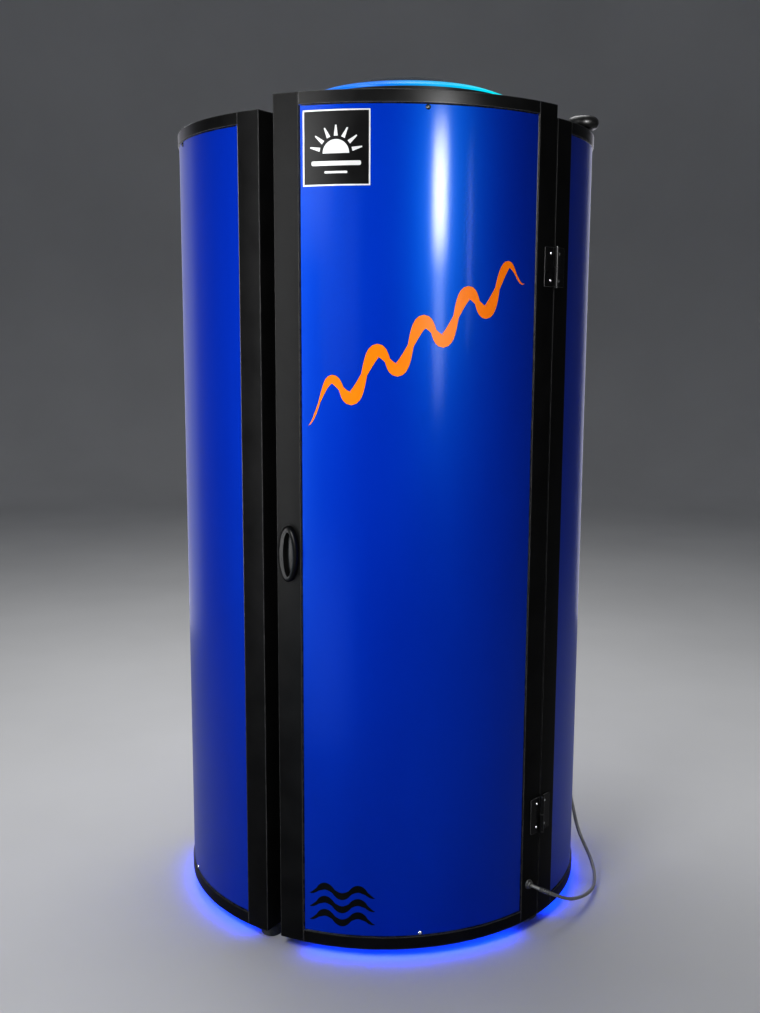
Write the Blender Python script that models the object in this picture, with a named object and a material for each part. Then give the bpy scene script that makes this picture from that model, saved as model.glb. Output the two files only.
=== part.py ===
"""Upright tanning booth: a hinged door and three curved lamp walls round a cabin, under a roof with a fan.

Metres, +Z up. The cabin's axis is Z, the floor is z = 0 and the door faces -Y. Angles run from -Y towards +X.
"""

import math

import bmesh
import bpy
from mathutils import Matrix, Vector

# Cabin and walls
OUTER_RADIUS = 0.5375
WALL_DEPTH = 0.100
DOOR_RISE = 0.0285
FLOOR_GAP = 0.030
DOOR_ARC = math.radians(75.4)
WING_ARC = math.radians(75.5)
HINGE_SEAM = 0.003
LATCH_GAP = 0.0395
REAR_SEAM = 0.0008

# Frame sections
POST_WIDTH = 0.064
FRAME_WALL = 0.003
TOP_RAIL_HEIGHT = 0.0275
BOTTOM_RAIL_HEIGHT = 0.031

# Sheets held by the frames
PANEL_WALL = 0.0025
SHIELD_WALL = 0.003
PANEL_LAP = 0.012

# Lamps and reflectors
LAMP_DIAMETER = 0.038
LAMP_LENGTH = 1.760
LAMP_PITCH = 0.056
LAMP_INSET = 0.068
SOCKET_DEPTH = 0.006
HOLDER_DEPTH = 0.044
HOLDER_HEIGHT = 0.1016
REFLECTOR_INSET = 0.032
REFLECTOR_WALL = 0.0015
FLUTE_DEPTH = 0.008
FLUTE_FLAT = 0.6

# Hinges between the door and the right wing
LOWER_HINGE_HEIGHT = 0.304
UPPER_HINGE_DROP = 0.339
LEAF_HEIGHT = 0.092
LEAF_WIDTH = 0.034
LEAF_WALL = 0.0022
BARREL_RADIUS = 0.0055
PIN_RADIUS = 0.003
PIN_HEAD_HEIGHT = 0.003
PIN_HEAD_LIP = 0.002

# Finger pull on the door's left post
PULL_HEIGHT = 0.132
PULL_WIDTH = 0.050
PULL_DEPTH = 0.018
PULL_ROUND = 0.008
PULL_RIM = 0.014
PULL_RECESS = 0.013
PULL_CENTRE_HEIGHT = 0.9975
PULL_SHIFT = 0.003
PULL_SIDES = 28
PULL_ROUND_STEPS = 3

# Stop strip behind the latch gap
STOP_WALL = 0.004
STOP_END_GAP = 0.020
STOP_LAP = 0.018

# Roof deck, fan and dome
DECK_WALL = 0.003
DECK_LAP = 0.030
DECK_DOOR_GAP = 0.0125
DECK_STEP_MARGIN = 0.009
FAN_OFFSET = 0.0234
DOME_RADIUS = 0.265
DOME_RISE = 0.0542
DOME_WALL = 0.004
DOME_RINGS = 4
DOME_SIDES = 28
DRUM_HEIGHT = 0.0555
DRUM_WALL = 0.0025
DRUM_FLANGE = 0.016
DRUM_MARGIN = 0.003
DRUM_SLOTS = 16
SLOT_WIDTH = 0.050
SLOT_HEIGHT = 0.026
FAN_RADIUS = 0.150
FAN_TIP_GAP = 0.008
BLADES = 5
BLADE_WALL = 0.003
BLADE_CHORD = 0.058
BLADE_ROOT_PITCH = math.radians(42)
BLADE_TIP_PITCH = math.radians(24)
BLADE_SPANS = 5
MOTOR_RADIUS = 0.044
MOTOR_HEIGHT = 0.034
SHAFT_RADIUS = 0.005
HUB_WALL = 0.008
HUB_GAP = 0.004
SPIDER_WALL = 0.003
SPIDER_WIDTH = 0.020
SPIDER_ARMS = 3
SPIDER_LAP = 0.020
GUARD_WALL = 0.003
GUARD_RINGS = 3
GUARD_RING_WIDTH = 0.005
GUARD_LAP = 0.012
BALLAST_SIZE = Vector((0.44, 0.16, 0.080))
BALLAST_GAP = 0.025
BALLAST_FINS = 9
FIN_DEPTH = 0.006
FIN_WALL = 0.012

# Vent caps on the wings
RIGHT_VENT_ANGLE = math.radians(66)
LEFT_VENT_ANGLE = math.radians(-105)
VENT_INSET = 0.0275
VENT_CAP_RADIUS = 0.040
VENT_CAP_HEIGHT = 0.032
VENT_RISE = 0.0115
VENT_STEM_RADIUS = 0.018
VENT_STEM_WALL = 0.0025
VENT_FLANGE_RADIUS = 0.023
VENT_SLOT_WIDTH = 0.0126
VENT_SLOT_MARGIN = 0.0012

# Feet
FOOT_RADIUS = 0.031
FOOT_TAPER = 0.005
FOOT_INSET = 0.026

# Timer inside the cabin
TIMER_SIZE = Vector((0.050, 0.036, 0.130))
TIMER_HEIGHT = 1.25
TIMER_ROUND = 0.004
KNOB_RADIUS = 0.018
KNOB_HEIGHT = 0.016
KNOB_GRIP_WIDTH = 0.007
SPINDLE_RADIUS = 0.004
SPINDLE_HEIGHT = 0.009

# Link cable from the door to the right wing: a bend at each gland, and between them a route given as
# angle in degrees, radius and height. The wing's end lies out of sight behind the wing.
CABLE_RADIUS = 0.0045
CABLE_STEP = 0.026
CABLE_BEND = 0.042
BEND_STEP = math.radians(22.5)
GLAND_LENGTH = 0.010
GLAND_RADIUS = 0.0125
GLAND_FLANGE = 0.003
GLAND_FLANGE_LIP = 0.0025
GLAND_SHOULDER = 0.004
GLAND_NOSE_WALL = 0.0018
DOOR_GLAND_ANGLE = math.radians(33.5)
DOOR_GLAND_HEIGHT = 0.1275
DOOR_BEND_SLOPE = math.radians(-30)
DOOR_BEND_SWEEP = math.radians(90)
WING_GLAND_ANGLE = math.radians(103)
WING_GLAND_HEIGHT = 0.217
WING_BEND_SLOPE = math.radians(-6)
WING_BEND_SWEEP = math.radians(120)
CABLE_ROUTE = (
    (40.3, 0.5955, 0.087),
    (44.9, 0.598, 0.064),
    (50.7, 0.600, 0.044),
    (57.0, 0.602, 0.027),
    (63.0, 0.604, 0.0175),
    (67.7, 0.601, 0.030),
    (69.9, 0.590, 0.058),
    (70.4, 0.5715, 0.097),
    (71.2, 0.557, 0.127),
    (73.3, 0.548, 0.149),
    (77.5, 0.5435, 0.168),
    (82.5, 0.5435, 0.183),
    (89.0, 0.555, 0.198),
    (93.0, 0.570, 0.205),
)

# Gaps and mesh steps
FIT = 0.0004
RUN_GAP = 0.002
ARC_STEP = math.radians(4.5)
ROUND_SIDES = 24
SMALL_SIDES = 12
LAMP_SIDES = 8
SMOOTH_ANGLE = math.radians(35)
BEVEL_ANGLE = math.radians(40)

# Places that follow from the driving dimensions
INNER_RADIUS = OUTER_RADIUS - WALL_DEPTH
WING_HEIGHT = LAMP_LENGTH + 2 * (HOLDER_HEIGHT + FRAME_WALL + FIT)
POST_ARC = POST_WIDTH / OUTER_RADIUS
WING_TOP = FLOOR_GAP + WING_HEIGHT
DOOR_TOP = WING_TOP + DOOR_RISE
HINGE_HEIGHTS = (LOWER_HINGE_HEIGHT, WING_TOP - UPPER_HINGE_DROP)
RIGHT_START = DOOR_ARC / 2 + HINGE_SEAM / OUTER_RADIUS
LEFT_END = -DOOR_ARC / 2 - LATCH_GAP / OUTER_RADIUS
REAR_START = RIGHT_START + WING_ARC + REAR_SEAM / OUTER_RADIUS
REAR_END = LEFT_END - WING_ARC + 2 * math.pi - REAR_SEAM / OUTER_RADIUS
RIGHT_CENTRE = RIGHT_START + WING_ARC / 2
LEFT_CENTRE = LEFT_END - WING_ARC / 2
REAR_CENTRE = (REAR_START + REAR_END) / 2
REAR_ARC = REAR_END - REAR_START
LAMP_CENTRES = OUTER_RADIUS - LAMP_INSET
HINGE_ANGLE = DOOR_ARC / 2 + HINGE_SEAM / OUTER_RADIUS / 2
HINGE_RADIUS = OUTER_RADIUS + FIT + LEAF_WALL + BARREL_RADIUS - LEAF_WALL / 2
DECK_BOTTOM = WING_TOP + FIT
DECK_TOP = DECK_BOTTOM + DECK_WALL
DECK_FRONT_RADIUS = INNER_RADIUS - DECK_DOOR_GAP
FAN_FORWARD = DECK_FRONT_RADIUS - DRUM_MARGIN - DOME_RADIUS
FAN_CENTRE = Vector((FAN_OFFSET, -FAN_FORWARD, DECK_TOP + FIT))
FAN_HOLE = FAN_RADIUS + FAN_TIP_GAP
VENT_CENTRES = OUTER_RADIUS - VENT_INSET


def clear_scene():
    for old in list(bpy.data.objects):
        bpy.data.objects.remove(old, do_unlink=True)


def make_material(name, colour, roughness, metallic=0.0, emission=0.0, alpha=1.0):
    """A Principled material in linear colour."""
    material = bpy.data.materials.new(name)
    material.use_nodes = True
    shader = material.node_tree.nodes["Principled BSDF"]
    shader.inputs["Base Color"].default_value = (*colour, 1.0)
    shader.inputs["Roughness"].default_value = roughness
    shader.inputs["Metallic"].default_value = metallic
    shader.inputs["Emission Color"].default_value = (*colour, 1.0)
    shader.inputs["Emission Strength"].default_value = emission
    shader.inputs["Alpha"].default_value = alpha
    return material


def polar(radius, angle, height=0.0):
    return Vector((radius * math.sin(angle), -radius * math.cos(angle), height))


def arc_angles(start, end, step=ARC_STEP):
    """Evenly spaced angles from start to end, no further apart than step."""
    count = max(1, math.ceil(abs(end - start) / step - 1e-6))
    return [start + (end - start) * i / count for i in range(count + 1)]


def arc_points(radius, start, end, step=ARC_STEP):
    return [polar(radius, angle) for angle in arc_angles(start, end, step)]


def add_prism(bm, outline, bottom, top):
    """A closed solid between two heights with the given plan outline."""
    lower = [bm.verts.new((p[0], p[1], bottom)) for p in outline]
    upper = [bm.verts.new((p[0], p[1], top)) for p in outline]
    bm.faces.new(lower)
    bm.faces.new(upper)
    for i in range(len(outline)):
        j = (i + 1) % len(outline)
        bm.faces.new((lower[i], lower[j], upper[j], upper[i]))


def add_box(bm, low, high):
    outline = ((low[0], low[1]), (high[0], low[1]), (high[0], high[1]), (low[0], high[1]))
    add_prism(bm, outline, low[2], high[2])


def add_arc_sweep(bm, profile, start, end):
    """Sweeps a closed profile of (radius, height) points round Z from one angle to another."""
    verts = [bm.verts.new(polar(radius, start, height)) for radius, height in profile]
    edges = [bm.edges.new((verts[i], verts[(i + 1) % len(verts)])) for i in range(len(verts))]
    steps = len(arc_angles(start, end)) - 1
    swept = bmesh.ops.spin(bm, geom=verts + edges, axis=(0, 0, 1), cent=(0, 0, 0), angle=end - start,
                           steps=steps)
    last = [item for item in swept["geom_last"] if isinstance(item, bmesh.types.BMEdge)]
    bmesh.ops.edgeloop_fill(bm, edges=edges)
    bmesh.ops.edgeloop_fill(bm, edges=last)


def add_turned(bm, profile, sides=ROUND_SIDES, closed=False):
    """Turns a profile of (radius, height) points round Z. An open profile starts and ends on the axis."""
    verts = [bm.verts.new((radius, 0, height)) for radius, height in profile]
    pairs = list(zip(verts, verts[1:]))
    if closed:
        pairs.append((verts[-1], verts[0]))
    edges = [bm.edges.new(pair) for pair in pairs]
    bmesh.ops.spin(bm, geom=verts + edges, axis=(0, 0, 1), cent=(0, 0, 0), angle=2 * math.pi, steps=sides)
    bmesh.ops.remove_doubles(bm, verts=bm.verts, dist=1e-6)


def add_cylinder(bm, radius, bottom, top, sides=ROUND_SIDES, centre=(0, 0)):
    outline = []
    for i in range(sides):
        angle = 2 * math.pi * i / sides
        outline.append((centre[0] + radius * math.cos(angle), centre[1] + radius * math.sin(angle)))
    add_prism(bm, outline, bottom, top)


def make_object(name, bm, material, smooth=False, turn=0.0, place=(0, 0, 0)):
    """Turns a bmesh into a named object with outward faces, turned about Z and moved to its place."""
    bmesh.ops.recalc_face_normals(bm, faces=bm.faces)
    mesh = bpy.data.meshes.new(name)
    bm.to_mesh(mesh)
    bm.free()
    if smooth:
        mesh.shade_smooth()
        mesh.set_sharp_from_angle(angle=SMOOTH_ANGLE)
    if material:
        mesh.materials.append(material)
    part = bpy.data.objects.new(name, mesh)
    part.rotation_euler = (0, 0, turn)
    part.location = place
    bpy.context.scene.collection.objects.link(part)
    return part


def combine(part, tool, operation):
    """Joins a tool to a part, or cuts it away, and removes the tool."""
    modifier = part.modifiers.new(operation.title(), "BOOLEAN")
    modifier.operation = operation
    modifier.object = tool
    bake(part)
    bpy.data.objects.remove(tool, do_unlink=True)


def bevel(part, width, segments=2):
    """Rounds the sharp edges of a part."""
    modifier = part.modifiers.new("Bevel", "BEVEL")
    modifier.width = width
    modifier.segments = segments
    modifier.limit_method = "ANGLE"
    modifier.angle_limit = BEVEL_ANGLE
    bake(part)


def bake(part):
    """Replaces a part's mesh by its evaluated one."""
    name = part.data.name
    graph = bpy.context.evaluated_depsgraph_get()
    mesh = bpy.data.meshes.new_from_object(part.evaluated_get(graph))
    old = part.data
    part.modifiers.clear()
    part.data = mesh
    bpy.data.meshes.remove(old)
    mesh.name = name


def make_tool(bm, turn=0.0, place=(0, 0, 0)):
    return make_object("tool", bm, None, turn=turn, place=place)


def make_axis(name, place):
    """An empty on a joint's axis, to which the moving pieces are parented."""
    axis = bpy.data.objects.new(name, None)
    axis.location = place
    bpy.context.scene.collection.objects.link(axis)
    return axis


def hang_on(axis, parts):
    for part in parts:
        part.parent = axis
        part.matrix_parent_inverse = Matrix.Translation(-Vector(axis.location))


def add_sector(bm, inner, outer, start, end, bottom, top):
    """A block of ring between two radii, two angles and two heights."""
    add_prism(bm, arc_points(outer, start, end) + arc_points(inner, end, start), bottom, top)


def make_post(name, arc, side, bottom, top, material, turn):
    """A folded post at one end of a wall, with closed ends and open towards the wall's middle."""
    end = side * arc / 2
    edge = end - side * POST_ARC
    web = end - side * FRAME_WALL / OUTER_RADIUS
    bm = bmesh.new()
    add_sector(bm, INNER_RADIUS, OUTER_RADIUS, end, edge, bottom, top)
    post = make_object(name, bm, material, turn=turn)
    bm = bmesh.new()
    past_edge = edge - side * FRAME_WALL / OUTER_RADIUS
    add_sector(bm, INNER_RADIUS + FRAME_WALL, OUTER_RADIUS - FRAME_WALL, web, past_edge,
               bottom + FRAME_WALL, top - FRAME_WALL)
    combine(post, make_tool(bm, turn=turn), "DIFFERENCE")
    return post


def make_rail(name, arc, flange_end, web_face, material, turn):
    """A curved channel between the posts: its web closes the wall's end and its flanges hold the sheets."""
    inside = math.copysign(FRAME_WALL, flange_end - web_face) + web_face
    outer, inner = OUTER_RADIUS, INNER_RADIUS
    profile = (
        (outer, web_face),
        (outer, flange_end),
        (outer - FRAME_WALL, flange_end),
        (outer - FRAME_WALL, inside),
        (inner + FRAME_WALL, inside),
        (inner + FRAME_WALL, flange_end),
        (inner, flange_end),
        (inner, web_face),
    )
    half = arc / 2 - POST_ARC - FIT / INNER_RADIUS
    bm = bmesh.new()
    add_arc_sweep(bm, profile, -half, half)
    return make_object(name, bm, material, smooth=True, turn=turn)


def make_sheet(name, arc, inner, wall, bottom, top, material, turn):
    """A curved sheet whose edges lap behind the posts and rails."""
    half = arc / 2 - POST_ARC + PANEL_LAP / OUTER_RADIUS
    low = bottom + BOTTOM_RAIL_HEIGHT - PANEL_LAP
    high = top - TOP_RAIL_HEIGHT + PANEL_LAP
    profile = ((inner, low), (inner, high), (inner + wall, high), (inner + wall, low))
    bm = bmesh.new()
    add_arc_sweep(bm, profile, -half, half)
    return make_object(name, bm, material, smooth=True, turn=turn)


def lamp_angles(arc):
    """As many lamps as fit between the posts at the lamp pitch, centred on the wall."""
    pitch = LAMP_PITCH / LAMP_CENTRES
    count = max(1, math.floor((arc - 2 * POST_ARC) / pitch))
    return [(i - (count - 1) / 2) * pitch for i in range(count)]


def make_reflector(name, arc, bottom, top, material, turn):
    """A sheet with a flat trough behind each lamp and a ridge between lamps."""
    outer = OUTER_RADIUS - REFLECTOR_INSET
    pitch = LAMP_PITCH / LAMP_CENTRES
    end = arc / 2 - (FRAME_WALL + FIT) / INNER_RADIUS
    path = [(outer, -end)]
    for angle in lamp_angles(arc):
        path.append((outer - FLUTE_DEPTH, angle - pitch / 2))
        path.append((outer, angle - pitch / 2 * FLUTE_FLAT))
        path.append((outer, angle + pitch / 2 * FLUTE_FLAT))
    path.append((outer - FLUTE_DEPTH, lamp_angles(arc)[-1] + pitch / 2))
    path.append((outer, end))
    outline = [polar(radius, angle) for radius, angle in path]
    outline += [polar(radius - REFLECTOR_WALL, angle) for radius, angle in reversed(path)]
    bm = bmesh.new()
    add_prism(bm, outline, bottom + FRAME_WALL + FIT, top - FRAME_WALL - FIT)
    return make_object(name, bm, material, turn=turn)


def make_lamps(name, arc, bottom, top, material, turn):
    """The row of lamps, joined to the holder strips that carry their ends."""
    low = bottom + FRAME_WALL + FIT
    high = top - FRAME_WALL - FIT
    holder = (high - low - LAMP_LENGTH) / 2
    angles = lamp_angles(arc)
    half = angles[-1] + LAMP_PITCH / LAMP_CENTRES / 2
    inner = LAMP_CENTRES - HOLDER_DEPTH / 2
    outer = LAMP_CENTRES + HOLDER_DEPTH / 2
    bm = bmesh.new()
    for end, face in ((low, low + holder), (high, high - holder)):
        add_arc_sweep(bm, ((inner, end), (inner, face), (outer, face), (outer, end)), -half, half)
    lamps = make_object(name, bm, material, smooth=True, turn=turn)
    bm = bmesh.new()
    for angle in angles:
        centre = polar(LAMP_CENTRES, angle)
        start = low + holder - SOCKET_DEPTH
        add_cylinder(bm, LAMP_DIAMETER / 2, start, start + LAMP_LENGTH + 2 * SOCKET_DEPTH, LAMP_SIDES, centre)
    combine(lamps, make_tool(bm, turn=turn), "UNION")
    return lamps


def make_wall(prefix, arc, turn, top, post_names, materials):
    """One wall: two posts, two rails, outer panel, reflector, lamps and inner shield."""
    bottom = FLOOR_GAP
    black = materials["frame"]
    panel_inner = OUTER_RADIUS - FRAME_WALL - FIT - PANEL_WALL
    shield_inner = INNER_RADIUS + FRAME_WALL + FIT
    return [
        make_post(prefix + post_names[0], arc, -1, bottom, top, black, turn),
        make_post(prefix + post_names[1], arc, 1, bottom, top, black, turn),
        make_rail(prefix + "_top_rail", arc, top - TOP_RAIL_HEIGHT, top, black, turn),
        make_rail(prefix + "_bottom_rail", arc, bottom + BOTTOM_RAIL_HEIGHT, bottom, black, turn),
        make_sheet(prefix + "_panel", arc, panel_inner, PANEL_WALL, bottom, top, materials["panel"], turn),
        make_reflector(prefix + "_reflector", arc, bottom, top, materials["reflector"], turn),
        make_lamps(prefix + "_lamps", arc, bottom, top, materials["lamp"], turn),
        make_sheet(prefix + "_shield", arc, shield_inner, SHIELD_WALL, bottom, top, materials["shield"], turn),
    ]


def make_leaf(name, height, side, material):
    """A hinge leaf on one post with its half of the barrel. The door's leaf (side -1) has the upper half."""
    half = LEAF_HEIGHT / 2
    split = FIT / 2
    knuckle = (split, half) if side < 0 else (-half, -split)
    inner_edge = BARREL_RADIUS + FIT
    tilt = side * (inner_edge + LEAF_WIDTH / 2) / OUTER_RADIUS
    bm = bmesh.new()
    add_box(bm, (-LEAF_WIDTH / 2, -LEAF_WALL, -half), (LEAF_WIDTH / 2, 0, half))
    place = polar(OUTER_RADIUS + FIT, HINGE_ANGLE + tilt, height)
    leaf = make_object(name, bm, material, turn=HINGE_ANGLE + tilt, place=place)
    bm = bmesh.new()
    reach = sorted((side * PIN_RADIUS, side * (inner_edge + LEAF_WALL)))
    depth = HINGE_RADIUS - OUTER_RADIUS - FIT - LEAF_WALL / 4
    add_box(bm, (reach[0], depth - LEAF_WALL, knuckle[0]), (reach[1], depth - LEAF_WALL / 4, knuckle[1]))
    axis = polar(HINGE_RADIUS, HINGE_ANGLE, height)
    combine(leaf, make_tool(bm, turn=HINGE_ANGLE, place=axis), "UNION")
    bm = bmesh.new()
    add_cylinder(bm, BARREL_RADIUS, knuckle[0], knuckle[1], SMALL_SIDES)
    combine(leaf, make_tool(bm, turn=HINGE_ANGLE, place=axis), "UNION")
    bm = bmesh.new()
    add_cylinder(bm, PIN_RADIUS + FIT, -LEAF_HEIGHT, LEAF_HEIGHT, SMALL_SIDES)
    combine(leaf, make_tool(bm, turn=HINGE_ANGLE, place=axis), "DIFFERENCE")
    return leaf


def make_pin(name, height, material):
    """A hinge pin with a low head at each end."""
    end = LEAF_HEIGHT / 2 + FIT
    top = end + PIN_HEAD_HEIGHT
    head = PIN_RADIUS + PIN_HEAD_LIP
    crown = PIN_RADIUS
    profile = ((0, top), (crown, top), (head, end + PIN_HEAD_HEIGHT / 2), (head, end), (PIN_RADIUS, end),
               (PIN_RADIUS, -end), (head, -end), (head, -end - PIN_HEAD_HEIGHT / 2), (crown, -top), (0, -top))
    bm = bmesh.new()
    add_turned(bm, profile, SMALL_SIDES)
    return make_object(name, bm, material, smooth=True, place=polar(HINGE_RADIUS, HINGE_ANGLE, height))


def ellipse(width, height, shift=0.0):
    turns = [2 * math.pi * i / PULL_SIDES for i in range(PULL_SIDES)]
    return [(shift + width / 2 * math.cos(turn), height / 2 * math.sin(turn)) for turn in turns]


def add_loft(bm, rings):
    """A closed solid through rings of equal count, each a list of (x, y) points and its distance outwards."""
    loops = [[bm.verts.new((x, -out, z)) for x, z in ring] for ring, out in rings]
    bm.faces.new(loops[0])
    bm.faces.new(loops[-1])
    for lower, upper in zip(loops, loops[1:]):
        for i in range(len(lower)):
            j = (i + 1) % len(lower)
            bm.faces.new((lower[i], lower[j], upper[j], upper[i]))


def make_pull(material):
    """The oval finger pull: a rounded cup whose recess is nearer the hinge side."""
    angle = -DOOR_ARC / 2 + POST_ARC / 2 + PULL_SHIFT / OUTER_RADIUS
    place = polar(OUTER_RADIUS + FIT, angle, PULL_CENTRE_HEIGHT)
    rings = [(ellipse(PULL_WIDTH, PULL_HEIGHT), 0.0)]
    for step in range(PULL_ROUND_STEPS + 1):
        turn = math.pi / 2 * step / PULL_ROUND_STEPS
        inset = 2 * PULL_ROUND * (1 - math.cos(turn))
        out = PULL_DEPTH - PULL_ROUND * (1 - math.sin(turn))
        rings.append((ellipse(PULL_WIDTH - inset, PULL_HEIGHT - inset), out))
    bm = bmesh.new()
    add_loft(bm, rings)
    pull = make_object("door_pull", bm, material, smooth=True, turn=angle, place=place)
    width = PULL_WIDTH - 2 * PULL_RIM
    height = PULL_HEIGHT - 2 * PULL_RIM
    floor = PULL_DEPTH - PULL_RECESS
    shift = PULL_RIM / 4
    taper = PULL_RIM / 2
    recess = [
        (ellipse(width - taper, height - taper, shift), floor),
        (ellipse(width, height, shift), PULL_DEPTH + PULL_ROUND),
    ]
    bm = bmesh.new()
    add_loft(bm, recess)
    combine(pull, make_tool(bm, turn=angle, place=place), "DIFFERENCE")
    return pull


def make_stop(material):
    """The full-height strip on the left wing that closes the latch gap from inside."""
    outer = INNER_RADIUS - FIT
    start = LEFT_END - POST_ARC
    end = -DOOR_ARC / 2 + STOP_LAP / INNER_RADIUS
    outline = arc_points(outer, start, end) + arc_points(outer - STOP_WALL, end, start)
    bm = bmesh.new()
    add_prism(bm, outline, FLOOR_GAP + STOP_END_GAP, WING_TOP - STOP_END_GAP)
    return make_object("door_stop", bm, material, smooth=True)


def make_deck(material):
    """The roof sheet. It lies on the wings and is cut back clear of the door, with a round hole for the fan."""
    margin = DECK_STEP_MARGIN / INNER_RADIUS
    first = RIGHT_START + margin
    last = LEFT_END + 2 * math.pi - margin
    outline = arc_points(INNER_RADIUS + DECK_LAP, first, last)
    outline += arc_points(DECK_FRONT_RADIUS, last, first + 2 * math.pi)
    bm = bmesh.new()
    add_prism(bm, outline, DECK_BOTTOM, DECK_TOP)
    deck = make_object("roof_deck", bm, material)
    bm = bmesh.new()
    add_cylinder(bm, FAN_HOLE, -2 * DECK_WALL, 2 * DECK_WALL)
    combine(deck, make_tool(bm, place=FAN_CENTRE), "DIFFERENCE")
    return deck


def make_drum(material):
    """The slotted ring that carries the dome and lets the air out."""
    outer = DOME_RADIUS
    inner = outer - DRUM_WALL
    lip = outer - DRUM_FLANGE
    profile = ((outer, DRUM_HEIGHT), (outer, 0), (lip, 0), (lip, DRUM_WALL), (inner, DRUM_WALL),
               (inner, DRUM_HEIGHT))
    bm = bmesh.new()
    add_turned(bm, profile, 2 * DRUM_SLOTS, closed=True)
    drum = make_object("fan_drum", bm, material, smooth=True, place=FAN_CENTRE)
    middle = (DRUM_HEIGHT + DRUM_WALL) / 2
    bm = bmesh.new()
    for i in range(DRUM_SLOTS):
        start = len(bm.verts)
        add_box(bm, (outer - 3 * DRUM_WALL, -SLOT_WIDTH / 2, middle - SLOT_HEIGHT / 2),
                (outer + DRUM_WALL, SLOT_WIDTH / 2, middle + SLOT_HEIGHT / 2))
        bm.verts.ensure_lookup_table()
        spin = Matrix.Rotation(2 * math.pi * (i + 0.5) / DRUM_SLOTS, 3, "Z")
        bmesh.ops.rotate(bm, verts=bm.verts[start:], matrix=spin)
    combine(drum, make_tool(bm, place=FAN_CENTRE), "DIFFERENCE")
    return drum


def make_dome(material):
    """The clear domed cap over the fan: a spherical shell with a short upright edge."""
    sphere = (DOME_RADIUS ** 2 + DOME_RISE ** 2) / (2 * DOME_RISE)
    reach = math.asin(DOME_RADIUS / sphere)
    shares = [i / DOME_RINGS for i in range(DOME_RINGS + 1)]
    turns = [reach * share for share in shares]
    centre = DOME_RISE - sphere
    outer = [(sphere * math.sin(turn), centre + sphere * math.cos(turn) + DOME_WALL) for turn in turns]
    inner_reach = math.asin((DOME_RADIUS - DOME_WALL) / sphere)
    inner_turns = [inner_reach * share for share in shares]
    inner = [(sphere * math.sin(turn), centre + sphere * math.cos(turn)) for turn in inner_turns]
    profile = outer + [(DOME_RADIUS, 0), (DOME_RADIUS - DOME_WALL, 0)] + inner[::-1]
    bm = bmesh.new()
    add_turned(bm, profile, DOME_SIDES)
    place = FAN_CENTRE + Vector((0, 0, DRUM_HEIGHT + FIT))
    return make_object("fan_dome", bm, material, smooth=True, place=place)


def make_guard(material):
    """The finger guard below the fan: flat rings on two crossed bars."""
    outer = FAN_HOLE + GUARD_LAP
    bar = GUARD_WALL / 4
    bm = bmesh.new()
    add_box(bm, (-outer + GUARD_RING_WIDTH / 2, -GUARD_RING_WIDTH / 2, -GUARD_WALL + bar),
            (outer - GUARD_RING_WIDTH / 2, GUARD_RING_WIDTH / 2, -bar))
    place = Vector((FAN_CENTRE.x, FAN_CENTRE.y, DECK_BOTTOM - FIT))
    guard = make_object("fan_guard", bm, material, place=place)
    bm = bmesh.new()
    add_box(bm, (-GUARD_RING_WIDTH / 2, -outer + GUARD_RING_WIDTH / 2, -GUARD_WALL + 1.5 * bar),
            (GUARD_RING_WIDTH / 2, outer - GUARD_RING_WIDTH / 2, -1.5 * bar))
    combine(guard, make_tool(bm, place=place), "UNION")
    bm = bmesh.new()
    for i in range(GUARD_RINGS):
        edge = outer * (i + 1) / GUARD_RINGS
        inner = edge - GUARD_RING_WIDTH
        ring = ((edge, 0), (edge, -GUARD_WALL), (inner, -GUARD_WALL), (inner, 0))
        add_turned(bm, ring, closed=True)
    combine(guard, make_tool(bm, place=place), "UNION")
    return guard


def make_motor(material):
    """The fan's fixed half: a spider that spans the hole, the stator and the shaft."""
    top = SPIDER_WALL + MOTOR_HEIGHT
    shaft_top = top + HUB_GAP + HUB_WALL
    profile = ((0, shaft_top), (SHAFT_RADIUS, shaft_top), (SHAFT_RADIUS, top), (MOTOR_RADIUS, top),
               (MOTOR_RADIUS, SPIDER_WALL / 4), (0, SPIDER_WALL / 4))
    bm = bmesh.new()
    add_turned(bm, profile)
    motor = make_object("fan_motor", bm, material, smooth=True, place=FAN_CENTRE)
    for i in range(SPIDER_ARMS):
        bm = bmesh.new()
        add_box(bm, (0, -SPIDER_WIDTH / 2, 0), (FAN_HOLE + SPIDER_LAP, SPIDER_WIDTH / 2, SPIDER_WALL))
        combine(motor, make_tool(bm, turn=2 * math.pi * i / SPIDER_ARMS, place=FAN_CENTRE), "UNION")
    return motor


def add_blade(bm, root, middle, turn):
    """A twisted blade lofted from the hub to the tip, coarse at the root and flat at the tip."""
    loops = []
    for i in range(BLADE_SPANS + 1):
        share = i / BLADE_SPANS
        radius = root + (FAN_RADIUS - root) * share
        pitch = BLADE_ROOT_PITCH + (BLADE_TIP_PITCH - BLADE_ROOT_PITCH) * share
        along = Vector((0, math.cos(pitch), math.sin(pitch))) * BLADE_CHORD / 2
        across = Vector((0, -math.sin(pitch), math.cos(pitch))) * BLADE_WALL / 2
        centre = Vector((radius, 0, middle))
        corners = [centre - along - across, centre + along - across]
        corners += [centre + along + across, centre - along + across]
        loops.append([bm.verts.new(Matrix.Rotation(turn, 3, "Z") @ corner) for corner in corners])
    bm.faces.new(loops[0])
    bm.faces.new(loops[-1])
    for lower, upper in zip(loops, loops[1:]):
        for i in range(4):
            j = (i + 1) % 4
            bm.faces.new((lower[i], lower[j], upper[j], upper[i]))


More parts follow.
